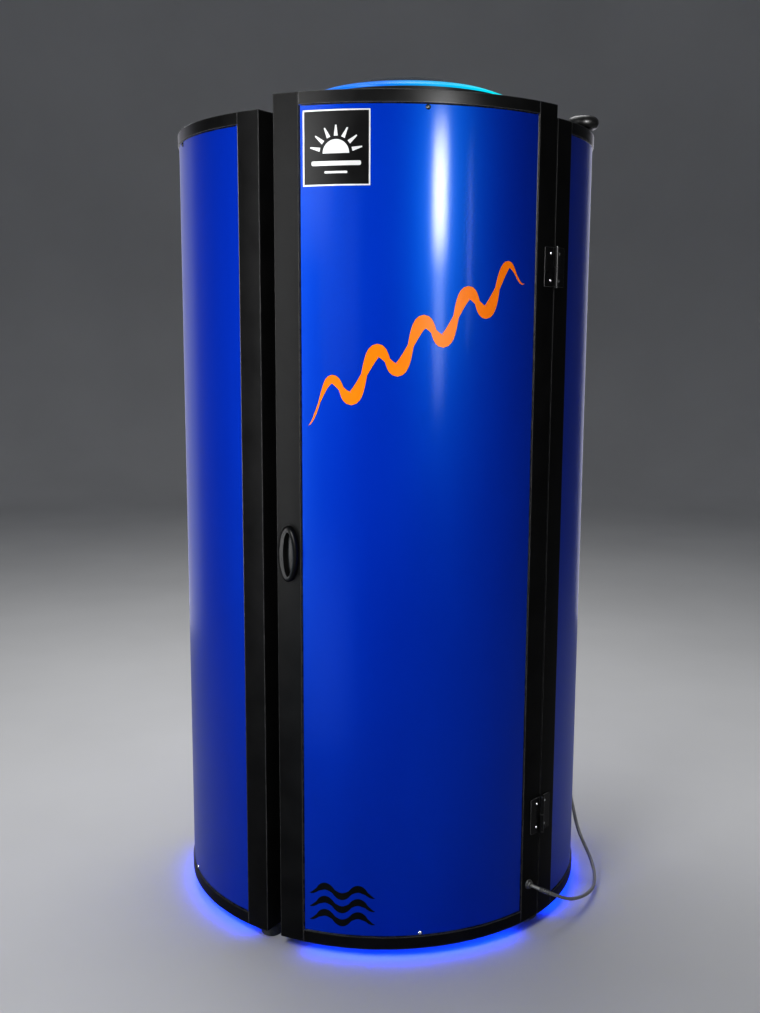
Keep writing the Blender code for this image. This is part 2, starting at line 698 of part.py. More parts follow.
def make_rotor(material):
    """The fan's turning half: a hub cup over the stator, with twisted blades."""
    low = SPIDER_WALL + RUN_GAP
    under = SPIDER_WALL + MOTOR_HEIGHT + HUB_GAP
    top = under + HUB_WALL
    inside = MOTOR_RADIUS + RUN_GAP
    outside = inside + HUB_WALL
    bore = SHAFT_RADIUS + FIT
    profile = ((bore, top), (outside - HUB_WALL / 2, top), (outside, top - HUB_WALL / 2), (outside, low),
               (inside, low), (inside, under), (bore, under))
    bm = bmesh.new()
    add_turned(bm, profile, closed=True)
    rotor = make_object("fan_rotor", bm, material, smooth=True, place=FAN_CENTRE)
    bm = bmesh.new()
    for i in range(BLADES):
        add_blade(bm, outside - HUB_WALL / 2, (low + top) / 2, 2 * math.pi * i / BLADES)
    combine(rotor, make_tool(bm, place=FAN_CENTRE), "UNION")
    return rotor


def make_ballast_box(material):
    """The ballast box behind the drum, with cooling fins along its back."""
    size = BALLAST_SIZE
    front = -FAN_FORWARD + DOME_RADIUS + BALLAST_GAP
    bm = bmesh.new()
    add_box(bm, (-size.x / 2, 0, 0), (size.x / 2, size.y, size.z))
    box = make_object("ballast_box", bm, material, place=(0, front, DECK_TOP + FIT))
    bevel(box, FIN_DEPTH / 2)
    pitch = size.x / (BALLAST_FINS + 1)
    bm = bmesh.new()
    for i in range(BALLAST_FINS):
        middle = (i - (BALLAST_FINS - 1) / 2) * pitch
        add_box(bm, (middle - (pitch - FIN_WALL) / 2, size.y - FIN_DEPTH, FIN_WALL),
                (middle + (pitch - FIN_WALL) / 2, size.y + FIN_DEPTH, size.z - FIN_WALL))
    combine(box, make_tool(bm, place=(0, front, DECK_TOP + FIT)), "DIFFERENCE")
    return box


def make_vent(name, rail, angle, material):
    """A round cap on a slotted pipe, seated in a hole that is cut through the top rail."""
    place = polar(VENT_CENTRES, angle, WING_TOP)
    bm = bmesh.new()
    add_cylinder(bm, VENT_STEM_RADIUS + FIT, -2 * FRAME_WALL, FRAME_WALL, SMALL_SIDES)
    combine(rail, make_tool(bm, turn=angle, place=place), "DIFFERENCE")
    cap = VENT_CAP_RADIUS
    top = VENT_RISE + VENT_CAP_HEIGHT
    edge = VENT_CAP_HEIGHT / 3
    stem = VENT_STEM_RADIUS
    bore = stem - VENT_STEM_WALL
    foot = -FRAME_WALL
    profile = ((0, top), (cap - edge, top), (cap, top - edge),
               (cap, VENT_RISE + edge / 2), (cap - edge / 2, VENT_RISE),
               (stem, VENT_RISE), (stem, FIT + FRAME_WALL), (VENT_FLANGE_RADIUS, FIT + FRAME_WALL),
               (VENT_FLANGE_RADIUS, FIT), (stem, FIT), (stem, foot), (bore, foot), (bore, VENT_RISE + edge),
               (0, VENT_RISE + edge))
    bm = bmesh.new()
    add_turned(bm, profile, SMALL_SIDES)
    vent = make_object(name, bm, material, smooth=True, turn=angle, place=place)
    low = FIT + FRAME_WALL + VENT_SLOT_MARGIN
    high = VENT_RISE - VENT_SLOT_MARGIN
    width = VENT_SLOT_WIDTH
    for turn in (0, math.pi / 2):
        bm = bmesh.new()
        add_box(bm, (-2 * stem, -width / 2, low), (2 * stem, width / 2, high))
        combine(vent, make_tool(bm, turn=angle + turn, place=place), "DIFFERENCE")
    return vent


def make_foot(name, angle, material):
    """A tapered pad under a post."""
    top = FLOOR_GAP - FIT
    edge = FOOT_TAPER
    profile = ((0, top), (FOOT_RADIUS, top), (FOOT_RADIUS, top - edge), (FOOT_RADIUS - edge, edge),
               (FOOT_RADIUS - edge, 0), (0, 0))
    bm = bmesh.new()
    add_turned(bm, profile, SMALL_SIDES)
    return make_object(name, bm, material, smooth=True, place=polar(OUTER_RADIUS - WALL_DEPTH / 2, angle))


def timer_face_distance():
    """Distance from the cabin's axis to the flat back of the timer box."""
    return INNER_RADIUS * math.cos(POST_ARC / 2) - FIT


def make_timer(material, knob_material):
    """The timer box on the right wing's front post and its knob, both facing into the cabin."""
    angle = RIGHT_START + POST_ARC / 2
    back = timer_face_distance()
    size = TIMER_SIZE
    place = polar(back, angle, TIMER_HEIGHT)
    bm = bmesh.new()
    add_box(bm, (-size.x / 2, 0, -size.z / 2), (size.x / 2, size.y, size.z / 2))
    box = make_object("timer_box", bm, material, turn=angle, place=place)
    bevel(box, TIMER_ROUND)
    facing = Matrix.Rotation(-math.pi / 2, 3, "X")
    bm = bmesh.new()
    add_cylinder(bm, SPINDLE_RADIUS, size.y - SPINDLE_HEIGHT, size.y + SPINDLE_HEIGHT, SMALL_SIDES)
    bmesh.ops.rotate(bm, verts=bm.verts, matrix=facing)
    combine(box, make_tool(bm, turn=angle, place=place), "UNION")
    bore = SPINDLE_RADIUS + FIT
    deep = SPINDLE_HEIGHT + FIT
    edge = KNOB_HEIGHT / 4
    rim = KNOB_RADIUS - edge / 2
    profile = ((0, KNOB_HEIGHT), (rim - edge, KNOB_HEIGHT), (rim, KNOB_HEIGHT - edge), (KNOB_RADIUS, 0),
               (bore, 0), (bore, deep), (0, deep))
    bm = bmesh.new()
    add_turned(bm, profile)
    bmesh.ops.rotate(bm, verts=bm.verts, matrix=facing)
    knob_place = polar(back - size.y - FIT, angle, TIMER_HEIGHT)
    knob = make_object("timer_knob", bm, knob_material, smooth=True, turn=angle, place=knob_place)
    for side in (-1, 1):
        bm = bmesh.new()
        reach = sorted((side * KNOB_GRIP_WIDTH / 2, side * 2 * KNOB_RADIUS))
        add_box(bm, (reach[0], deep + edge / 2, -2 * KNOB_RADIUS), (reach[1], 2 * KNOB_HEIGHT, 2 * KNOB_RADIUS))
        combine(knob, make_tool(bm, turn=angle, place=knob_place), "DIFFERENCE")
    return box, knob


def make_gland(name, face, angle, height, material):
    """A cable gland that stands out from a wall: flange, body and rounded nut."""
    nut = GLAND_RADIUS - GLAND_FLANGE_LIP
    nose = CABLE_RADIUS + GLAND_NOSE_WALL
    flange = GLAND_FLANGE
    profile = ((0, GLAND_LENGTH), (nose, GLAND_LENGTH), (nut, GLAND_LENGTH - GLAND_SHOULDER), (nut, flange),
               (GLAND_RADIUS, flange), (GLAND_RADIUS, 0), (0, 0))
    bm = bmesh.new()
    add_turned(bm, profile, SMALL_SIDES)
    bmesh.ops.rotate(bm, verts=bm.verts, matrix=Matrix.Rotation(math.pi / 2, 3, "X"))
    return make_object(name, bm, material, smooth=True, turn=angle, place=polar(face + FIT, angle, height))


def smooth_route(points):
    """Points of a Catmull-Rom curve through the given points, about one cable step apart."""
    path = []
    padded = [points[0] * 2 - points[1]] + points + [points[-1] * 2 - points[-2]]
    for before, start, end, after in zip(padded, padded[1:], padded[2:], padded[3:]):
        count = max(1, round((end - start).length / CABLE_STEP))
        for i in range(count):
            t = i / count
            blend = 2 * start + (end - before) * t
            blend += (2 * before - 5 * start + 4 * end - after) * t ** 2
            blend += (3 * start - before - 3 * end + after) * t ** 3
            path.append(blend / 2)
    path.append(points[-1])
    return path


def gland_bend(face, angle, height, way, slope, sweep):
    """The cable's bend at a gland: straight out of it, then round to a slope along the wall, either way."""
    out = polar(1, angle)
    along = polar(way * math.cos(slope), angle + math.pi / 2, math.sin(slope))
    nose = polar(face + 2 * FIT + GLAND_LENGTH, angle, height)
    points = [nose]
    for turn in arc_angles(0, sweep, BEND_STEP):
        reach = CABLE_RADIUS / 2 + CABLE_BEND * math.sin(turn)
        points.append(nose + out * reach + along * CABLE_BEND * (1 - math.cos(turn)))
    return points


def make_cable(material, door_face, wing_face):
    """The link cable that hangs free between the two glands."""
    door_end = gland_bend(door_face, DOOR_GLAND_ANGLE, DOOR_GLAND_HEIGHT, 1, DOOR_BEND_SLOPE, DOOR_BEND_SWEEP)
    wing_end = gland_bend(wing_face, WING_GLAND_ANGLE, WING_GLAND_HEIGHT, -1, WING_BEND_SLOPE, WING_BEND_SWEEP)
    middle = [polar(radius, math.radians(angle), height) for angle, radius, height in CABLE_ROUTE]
    points = smooth_route(door_end + middle + wing_end[::-1])
    curve = bpy.data.curves.new("link_cable", "CURVE")
    curve.dimensions = "3D"
    curve.bevel_depth = CABLE_RADIUS
    curve.bevel_resolution = 2
    curve.use_fill_caps = True
    spline = curve.splines.new("POLY")
    spline.points.add(len(points) - 1)
    for slot, point in zip(spline.points, points):
        slot.co = (*point, 1.0)
    curve.materials.append(material)
    cable = bpy.data.objects.new("link_cable", curve)
    bpy.context.scene.collection.objects.link(cable)
    length = sum((b - a).length for a, b in zip(points, points[1:]))
    print("link cable length", round(length, 3))
    return cable


def make_materials():
    return {
        "frame": make_material("satin_black", (0.017, 0.016, 0.015), 0.38),
        "panel": make_material("gloss_blue", (0.0, 0.038, 0.55), 0.12),
        "reflector": make_material("bright_aluminium", (0.80, 0.81, 0.83), 0.22, 1.0),
        "lamp": make_material("lamp_white", (0.72, 0.82, 1.0), 0.30, 0.0, 0.6),
        "shield": make_material("clear_acrylic", (0.86, 0.93, 1.0), 0.05, alpha=0.3),
        "hinge": make_material("hinge_black", (0.022, 0.021, 0.020), 0.45, 0.4),
        "pin": make_material("pin_steel", (0.52, 0.52, 0.53), 0.30, 1.0),
        "pull": make_material("gloss_black", (0.010, 0.010, 0.010), 0.15),
        "rubber": make_material("black_rubber", (0.020, 0.020, 0.020), 0.80),
        "deck": make_material("deck_black", (0.020, 0.020, 0.021), 0.50),
        "fan": make_material("fan_black", (0.030, 0.030, 0.032), 0.50),
        "wire": make_material("guard_chrome", (0.62, 0.62, 0.64), 0.20, 1.0),
        "dome": make_material("cyan_acrylic", (0.01, 0.40, 1.0), 0.08, 0.0, 1.5, 0.85),
        "cap": make_material("cap_grey", (0.30, 0.30, 0.31), 0.30),
        "ballast": make_material("ballast_grey", (0.22, 0.23, 0.24), 0.45),
        "timer": make_material("timer_black", (0.025, 0.025, 0.026), 0.40),
        "knob": make_material("knob_white", (0.70, 0.70, 0.68), 0.35),
        "gland": make_material("gland_grey", (0.09, 0.09, 0.09), 0.45),
        "cable": make_material("cable_grey", (0.20, 0.20, 0.20), 0.55),
    }


def build_door(materials):
    """The door with everything that swings with it."""
    pieces = make_wall("door", DOOR_ARC, 0.0, DOOR_TOP, ("_latch_post", "_hinge_post"), materials)
    for label, height in zip(("lower", "upper"), HINGE_HEIGHTS):
        pieces.append(make_leaf(label + "_hinge_door_leaf", height, -1, materials["hinge"]))
    pieces.append(make_pull(materials["pull"]))
    gland = make_gland("door_gland", OUTER_RADIUS, DOOR_GLAND_ANGLE, DOOR_GLAND_HEIGHT, materials["gland"])
    pieces.append(gland)
    hang_on(make_axis("door_axis", polar(HINGE_RADIUS, HINGE_ANGLE)), pieces)


def build_walls(materials):
    """The three fixed walls, the hinge halves and the stop on them, and their feet and vents."""
    right = make_wall("right_wing", WING_ARC, RIGHT_CENTRE, WING_TOP, ("_front_post", "_rear_post"), materials)
    left = make_wall("left_wing", WING_ARC, LEFT_CENTRE, WING_TOP, ("_rear_post", "_front_post"), materials)
    make_wall("rear_wall", REAR_ARC, REAR_CENTRE, WING_TOP, ("_right_post", "_left_post"), materials)
    for label, height in zip(("lower", "upper"), HINGE_HEIGHTS):
        make_leaf(label + "_hinge_wing_leaf", height, 1, materials["hinge"])
        make_pin(label + "_hinge_pin", height, materials["pin"])
    make_stop(materials["rubber"])
    make_vent("right_vent_cap", right[2], RIGHT_VENT_ANGLE, materials["cap"])
    make_vent("left_vent_cap", left[2], LEFT_VENT_ANGLE, materials["cap"])
    inset = FOOT_INSET / (OUTER_RADIUS - WALL_DEPTH / 2)
    make_foot("foot_right_front", RIGHT_START + inset, materials["rubber"])
    make_foot("foot_right_rear", REAR_START, materials["rubber"])
    make_foot("foot_left_rear", REAR_END, materials["rubber"])
    make_foot("foot_left_front", LEFT_END - inset, materials["rubber"])


def build_roof(materials):
    make_deck(materials["deck"])
    make_drum(materials["deck"])
    make_dome(materials["dome"])
    make_guard(materials["wire"])
    make_motor(materials["fan"])
    make_ballast_box(materials["ballast"])
    hang_on(make_axis("fan_axis", FAN_CENTRE), [make_rotor(materials["fan"])])


def build_controls(materials):
    knob = make_timer(materials["timer"], materials["knob"])[1]
    hang_on(make_axis("timer_axis", knob.location), [knob])


def build_cable(materials):
    panel_face = OUTER_RADIUS - FRAME_WALL - FIT
    make_gland("wing_gland", panel_face, WING_GLAND_ANGLE, WING_GLAND_HEIGHT, materials["gland"])
    make_cable(materials["cable"], OUTER_RADIUS, panel_face)


def main():
    clear_scene()
    materials = make_materials()
    build_door(materials)
    build_walls(materials)
    build_roof(materials)
    build_controls(materials)
    build_cable(materials)


main()
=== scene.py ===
"""Looks of the upright tanning booth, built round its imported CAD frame.

Metres, +Z up, in the frame of the CAD part. Angles run from -Y towards +X, as in the part's source.
"""

from collections import namedtuple
from math import asin, ceil, copysign, cos, floor, pi, radians, sin, sqrt

import bmesh
import bpy
from mathutils import Matrix, Vector


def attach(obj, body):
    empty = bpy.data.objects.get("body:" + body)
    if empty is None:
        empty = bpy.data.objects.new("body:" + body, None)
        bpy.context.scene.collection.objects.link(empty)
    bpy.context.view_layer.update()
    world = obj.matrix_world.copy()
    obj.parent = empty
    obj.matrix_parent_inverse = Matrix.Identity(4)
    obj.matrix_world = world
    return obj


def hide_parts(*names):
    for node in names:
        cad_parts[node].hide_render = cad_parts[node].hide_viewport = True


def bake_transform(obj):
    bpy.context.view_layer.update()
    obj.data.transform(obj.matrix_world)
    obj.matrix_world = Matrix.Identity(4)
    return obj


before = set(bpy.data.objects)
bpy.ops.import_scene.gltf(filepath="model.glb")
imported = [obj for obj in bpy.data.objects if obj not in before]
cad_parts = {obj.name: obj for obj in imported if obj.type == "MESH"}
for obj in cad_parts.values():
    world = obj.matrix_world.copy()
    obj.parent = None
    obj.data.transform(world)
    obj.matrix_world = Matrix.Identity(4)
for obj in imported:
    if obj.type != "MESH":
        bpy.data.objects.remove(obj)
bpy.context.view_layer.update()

# Walls, as in the part's source
OUTER_RADIUS = 0.5375
INNER_RADIUS = 0.4375
FLOOR_GAP = 0.030
WING_TOP = 2.000
DOOR_TOP = 2.0285
DOOR_ARC = radians(75.4)
WING_ARC = radians(75.5)
HINGE_SEAM = 0.003
LATCH_GAP = 0.0395
REAR_SEAM = 0.0008
POST_WIDTH = 0.064
FRAME_WALL = 0.003
FOLD_ROUND = 0.0018
TOP_RAIL_HEIGHT = 0.0275
BOTTOM_RAIL_HEIGHT = 0.031
PANEL_WALL = 0.0025
SHIELD_WALL = 0.003
PANEL_LAP = 0.012
GASKET_RADIUS = 0.0014
STRIP_RADII = (0.5160, 0.5260)
STRIP_WALL = 0.003
FIT = 0.0004

# Lamps
LAMP_RADIUS = 0.019
LAMP_LENGTH = 1.760
LAMP_PITCH = 0.056
LAMP_CENTRES = 0.4695
LAMP_SIDES = 20
LAMP_CAP_HEIGHT = 0.024
LAMP_CAP_EDGE = 0.001
GLASS_INSET = 0.0006
GLASS_NECK = 0.0025
GLASS_SHOULDER = 0.006
SOCKET_HEIGHT = 0.014
SOCKET_WALL = 0.003
HOLDER_DEPTH = 0.044
HOLDER_ROUND = 0.004

# Hinges, pull and panel screws
HINGE_HEIGHTS = (0.304, 1.661)
LEAF_HEIGHT = 0.092
LEAF_WIDTH = 0.034
LEAF_WALL = 0.0022
LEAF_ROUND = 0.004
LEAF_SCREWS = (0.0165, 0.031)
BARREL_RADIUS = 0.0055
BARREL_EDGE = 0.0006
PIN_RADIUS = 0.003
PIN_HEAD_RADIUS = 0.0050
PIN_HEAD_EDGE = 0.0012
PIN_HEAD_CROWN = 0.0020
PULL_HEIGHT = 0.132
PULL_WIDTH = 0.050
PULL_DEPTH = 0.018
PULL_RIM = 0.014
PULL_RECESS = 0.013
PULL_ROUND = 0.008
PULL_FOOT = 0.001
PULL_LIP = 0.0012
PULL_CENTRE_HEIGHT = 0.9975
PULL_SHIFT = 0.003
TOP_SCREW_DROP = 0.0087
BOTTOM_SCREW_RISE = 0.0075

# Cable and glands: the route's points are angle in degrees, radius and height
CABLE_RADIUS = 0.0045
CABLE_BEND = 0.042
CABLE_STEP = 0.006
BEND_STEP = radians(22.5)
GLAND_LENGTH = 0.010
GLAND_RADIUS = 0.0125
GLAND_FLANGE = 0.003
HEXAGON_RADIUS = 0.0108
HEXAGON_TOP = 0.0055
NUT = ((0.0098, HEXAGON_TOP), (0.0098, 0.0070), (0.0088, 0.0086), (CABLE_RADIUS + 0.0016, GLAND_LENGTH))
DOOR_GLAND = (radians(33.5), OUTER_RADIUS + FIT, 0.1275)
WING_GLAND = (radians(103), OUTER_RADIUS - FRAME_WALL, 0.217)
DOOR_BEND = (1, radians(-30), radians(90))
WING_BEND = (-1, radians(-6), radians(120))
CABLE_ROUTE = (
    (40.3, 0.5955, 0.087),
    (44.9, 0.598, 0.064),
    (50.7, 0.600, 0.044),
    (57.0, 0.602, 0.027),
    (63.0, 0.604, 0.0175),
    (67.7, 0.601, 0.030),
    (69.9, 0.590, 0.058),
    (70.4, 0.5715, 0.097),
    (71.2, 0.557, 0.127),
    (73.3, 0.548, 0.149),
    (77.5, 0.5435, 0.168),
    (82.5, 0.5435, 0.183),
    (89.0, 0.555, 0.198),
    (93.0, 0.570, 0.205),
)
SLEEVE_START = 0.024
SLEEVE_LENGTH = 0.024
SLEEVE_RIBS = 5
SLEEVE_WALL = 0.0008
SLEEVE_RIB = 0.0016
SLEEVE_STEP = 0.0008
SLEEVE_POINTS = 12

# Roof and feet
DECK_BOTTOM = WING_TOP + FIT
DECK_TOP = DECK_BOTTOM + 0.003
DECK_EDGE = 0.4675
DECK_FRONT = 0.425
DECK_MARGIN = 0.009
DECK_SCREW_INSET = 0.015
DECK_SCREW_STEP = radians(24)
FAN_CENTRE = Vector((0.0234, -0.157, DECK_TOP + FIT))
FAN_HOLE = 0.158
FAN_RADIUS = 0.150
DOME_RADIUS = 0.265
DOME_RISE = 0.0542
DOME_WALL = 0.004
DOME_EDGE = 0.0008
# Painted glow on the dome, standing for the lamps' light seen through it: the heights where it fades out, as
# shares of the rise, and the sideways span where its colour turns from blue to cyan
PAINTED_GLOW_SHARES = (0.28, 0.38)
PAINTED_GLOW_SIDES = (-0.10, 0.17)
DRUM_HEIGHT = 0.0555
DRUM_WALL = 0.0025
DRUM_FLANGE = 0.016
DRUM_SLOTS = 16
SLOT_WIDTH = 0.050
SLOT_HEIGHT = 0.026
SLOT_ROUND = 0.006
GUARD_LAP = 0.012
GUARD_WIRE = 0.0014
GUARD_RINGS = 8
VENT_ANGLES = {"right": radians(66), "left": radians(-105)}
VENT_CENTRES = 0.510
VENT_CAP_RADIUS = 0.040
VENT_CAP_HEIGHT = 0.032
VENT_RISE = 0.0115
VENT_STEM_RADIUS = 0.018
VENT_STEM_WALL = 0.0025
VENT_FLANGE_RADIUS = 0.023
VENT_FLANGE_TOP = 0.0034
VENT_FLANGE_EDGE = 0.0005
VENT_BORE_DEPTH = 0.004
VENT_SLOT_WIDTH = 0.0126
VENT_SLOT_MARGIN = 0.0012
FOOT_CENTRES = 0.4875
FOOT_INSET = 0.026
FOOT_RADIUS = 0.031
FOOT_RIM = 0.004
FOOT_RIBS = 4
FOOT_RIB_PITCH = 0.0045
FOOT_RIB_DEPTH = 0.0012
FOOT_TAPER = 0.001
FOOT_GROOVE = 0.0025
FOOT_SOLE = ((0.026, 0.002), (0.0245, 0.0))

# Fan
BLADES = 5
BLADE_CHORD = 0.058
BLADE_WALL = 0.0032
BLADE_CAMBER = 0.004
BLADE_PITCHES = (radians(42), radians(24))
BLADE_ROOT = 0.003
BLADE_TIP = 0.20
MOTOR_RADIUS = 0.044
MOTOR_TOP = 0.037
MOTOR_EDGE = 0.003
MOTOR_GROOVES = 5
GROOVE_MOUTH = 0.002
GROOVE_FLOOR = 0.0012
SHAFT_RADIUS = 0.005
SHAFT_EDGE = 0.001
HUB_UNDER = 0.041
HUB_TOP = 0.049
HUB_LOW = 0.005
HUB_INSIDE = 0.046
HUB_OUTSIDE = 0.054
HUB_ROUND = 0.004
HUB_DISH = (0.012, 0.014, 0.002)
SPIDER_WALL = 0.003
SPIDER_WIDTH = 0.020
SPIDER_REACH = FAN_HOLE + 0.020
SPIDER_ROOT = 0.004
SPIDER_RIB = 0.0016

# Ballast box, timer and stop strip
BALLAST_SIZE = Vector((0.44, 0.16, 0.080))
BALLAST_FRONT = 0.133
BALLAST_TRAY = 0.060
BALLAST_LAP = 0.003
LID_LAP = 0.004
BALLAST_SLOTS = 9
BALLAST_SLOT_SIZE = (0.008, 0.036)
BALLAST_SLOT_DEPTH = 0.008
BALLAST_SLOT_SHIFT = 0.009
BALLAST_SLOT_HEIGHT = 0.030
BALLAST_SCREW_INSET = 0.03
TIMER_SIZE = Vector((0.050, 0.036, 0.130))
TIMER_HEIGHT = 1.25
TIMER_SCREW_RISE = 0.052
DIAL_MARKS = 16
DIAL_STEP = radians(20)
DIAL_START = radians(120)
DIAL_RADII = (0.0200, 0.0225, 0.0240)
DIAL_MARK_HALF = 0.0004
DIAL_MARK_SINK = 0.0001
PRINT_RISE = 0.0002
KNOB_RADIUS = 0.018
KNOB_HEIGHT = 0.016
KNOB_SKIRT = 0.0114
KNOB_SINK = 0.001
KNOB_RINGS = ((0.0008, 0), (0, 0.0008), (0.0012, KNOB_SKIRT - 0.001), (0.0026, KNOB_SKIRT))
KNOB_GRIP_WIDTH = 0.007
KNOB_GRIP_LENGTH = 2 * KNOB_RADIUS - 0.006
KNOB_RIDGES = 36
KNOB_RIDGE = 0.0003
POINTER_SIZE = (0.0014, 0.009)
POINTER_MIDDLE = 0.0085
STOP_WALL = 0.004
STOP_END_GAP = 0.020
STOP_LAP = 0.018
STOP_RIB = 0.0006
STOP_RIB_PITCH = 0.012
STOP_SCREW_PITCH = 0.32
STOP_SCREW_INSET = 0.05

# Rounded edges and rounded corners of outlines: width and parts
EDGES = {"leaf": (0.0005, 2), "deck": (0.0007, 2), "spider": (0.0005, 2), "tray": (0.0008, 2),
         "lid": (0.0020, 4), "timer": (0.0025, 4), "grip": (0.0012, 3)}
CORNERS = {"hexagon": (0.0015, 2), "drum": (0.0006, 2), "tray_slot": (0.0038, 4), "lid": (0.004, 5),
           "timer": (0.005, 5), "grip": (0.003, 5), "pointer": (0.0006, 3)}

# Screw heads, by what they hold
SCREWS = {"hinge": 0.0038, "panel_top": 0.0058, "panel_bottom": 0.0052, "sheet": 0.0042, "ballast": 0.0036,
          "timer": 0.0034}

# Films on the door
FILM_WALL = 0.0003
LABEL_PLACE = (radians(-21.66), 1.907)
LABEL_SIZE = (0.153, 0.162)
LABEL_EDGE = 0.0035
SUN_RADIUS = 0.030
SUN_HORIZON = -0.012
SUN_RAYS = 7
RAY_REACH = (0.037, 0.060)
RAY_WIDTHS = (0.0045, 0.0015)
LABEL_BARS = ((0.112, 0.010, (0, -0.033)), (0.052, 0.005, (0, -0.052)))
RIBBON = {"length": 0.520, "crests": 5, "swing": 0.036, "thin": 0.013, "thick": 0.030, "slope": 0.62}
RIBBON_PLACE = (radians(-0.9), 1.495)
WAVE = {"length": 0.163, "crests": 2, "swing": 0.011, "thin": 0.010, "thick": 0.017}
WAVES_PLACE = (radians(-20.5), 0.1375)
WAVES_PITCH = 0.034

# Stage and camera
FLOOR_RADIUS = 7.0
FLOOR_BEND = 2.0
WALL_HEIGHT = 5.0
CAMERA_PLACE = (-0.53499, -3.06536, 1.51318)
CAMERA_AHEAD = (0.16642, 0.97421, -0.15240)
CAMERA_ROLL = 0.004
CAMERA_LENS = 40.65

# Mesh steps, and how far a cutting shape runs past what it cuts
CUT_PAST = 0.01
FINE_STEP = radians(1)
SMOOTH_ANGLE = radians(32)
ROUND_SIDES = 48

# Places that follow
POST_ARC = POST_WIDTH / OUTER_RADIUS
PANEL_FACE = OUTER_RADIUS - FRAME_WALL - FIT
RIGHT_START = DOOR_ARC / 2 + HINGE_SEAM / OUTER_RADIUS
LEFT_END = -DOOR_ARC / 2 - LATCH_GAP / OUTER_RADIUS
REAR_START = RIGHT_START + WING_ARC + REAR_SEAM / OUTER_RADIUS
REAR_END = LEFT_END - WING_ARC + 2 * pi - REAR_SEAM / OUTER_RADIUS
HINGE_ANGLE = DOOR_ARC / 2 + HINGE_SEAM / OUTER_RADIUS / 2
HINGE_RADIUS = OUTER_RADIUS + FIT + LEAF_WALL / 2 + BARREL_RADIUS
FEET = {
    "foot_right_front": RIGHT_START + FOOT_INSET / FOOT_CENTRES,
    "foot_right_rear": REAR_START,
    "foot_left_rear": REAR_END,
    "foot_left_front": LEFT_END - FOOT_INSET / FOOT_CENTRES,
}
Wall = namedtuple("Wall", "prefix body arc turn top posts")
WALLS = (
    Wall("door", "door", DOOR_ARC, 0.0, DOOR_TOP, ("_latch_post", "_hinge_post")),
    Wall("right_wing", "booth", WING_ARC, RIGHT_START + WING_ARC / 2, WING_TOP,
         ("_front_post", "_rear_post")),
    Wall("left_wing", "booth", WING_ARC, LEFT_END - WING_ARC / 2, WING_TOP,
         ("_rear_post", "_front_post")),
    Wall("rear_wall", "booth", REAR_END - REAR_START, (REAR_START + REAR_END) / 2, WING_TOP,
         ("_right_post", "_left_post")),
)


# Materials

def rgba(tone):
    """A colour of full alpha from three values, or from one for a grey."""
    return (*tone, 1.0) if isinstance(tone, tuple) else (tone, tone, tone, 1.0)


def set_sockets(tree, node, values):
    """Sets sockets of a node to values, or links them to other sockets."""
    for name, value in values.items():
        if isinstance(value, bpy.types.NodeSocket):
            tree.links.new(value, node.inputs[name])
        else:
            node.inputs[name].default_value = value


def add_node(tree, kind, values, **settings):
    node = tree.nodes.new("ShaderNode" + kind)
    for name, value in settings.items():
        setattr(node, name, value)
    set_sockets(tree, node, values)
    return node.outputs


def link_noise(tree, scale, stretch, detail):
    """A noise in the part's own coordinates, drawn out along an axis by a small stretch value."""
    place = add_node(tree, "TexCoord", {})["Object"]
    mapped = add_node(tree, "Mapping", {"Vector": place, "Scale": stretch})["Vector"]
    return add_node(tree, "TexNoise", {"Vector": mapped, "Scale": scale, "Detail": detail})["Fac"]


def link_range(tree, value, low, high, start=0.3, end=0.7):
    """Maps a span of values to a range: without a span, the middle of a noise's values."""
    limits = {"Value": value, "From Min": start, "From Max": end, "To Min": low, "To Max": high}
    return add_node(tree, "MapRange", limits)["Result"]


def link_mix(tree, factor, first, second):
    """Mixes two colours, each a value or a socket."""
    return add_node(tree, "Mix", {"Factor": factor, "A": first, "B": second}, data_type="RGBA")["Result"]


def link_math(tree, operation, first, second):
    """Joins two numbers, each a value or a socket."""
    return add_node(tree, "Math", {0: first, 1: second}, operation=operation)["Value"]


def link_edges(tree, radius):
    """A value that rises from 0 on flat faces to 1 on rounded-over edges."""
    soft = add_node(tree, "Bevel", {"Radius": radius}, samples=4)["Normal"]
    true = add_node(tree, "NewGeometry", {})["True Normal"]
    dot = add_node(tree, "VectorMath", {0: soft, 1: true}, operation="DOT_PRODUCT")["Value"]
    return link_range(tree, dot, 1.0, 0.0, 0.86, 0.998)


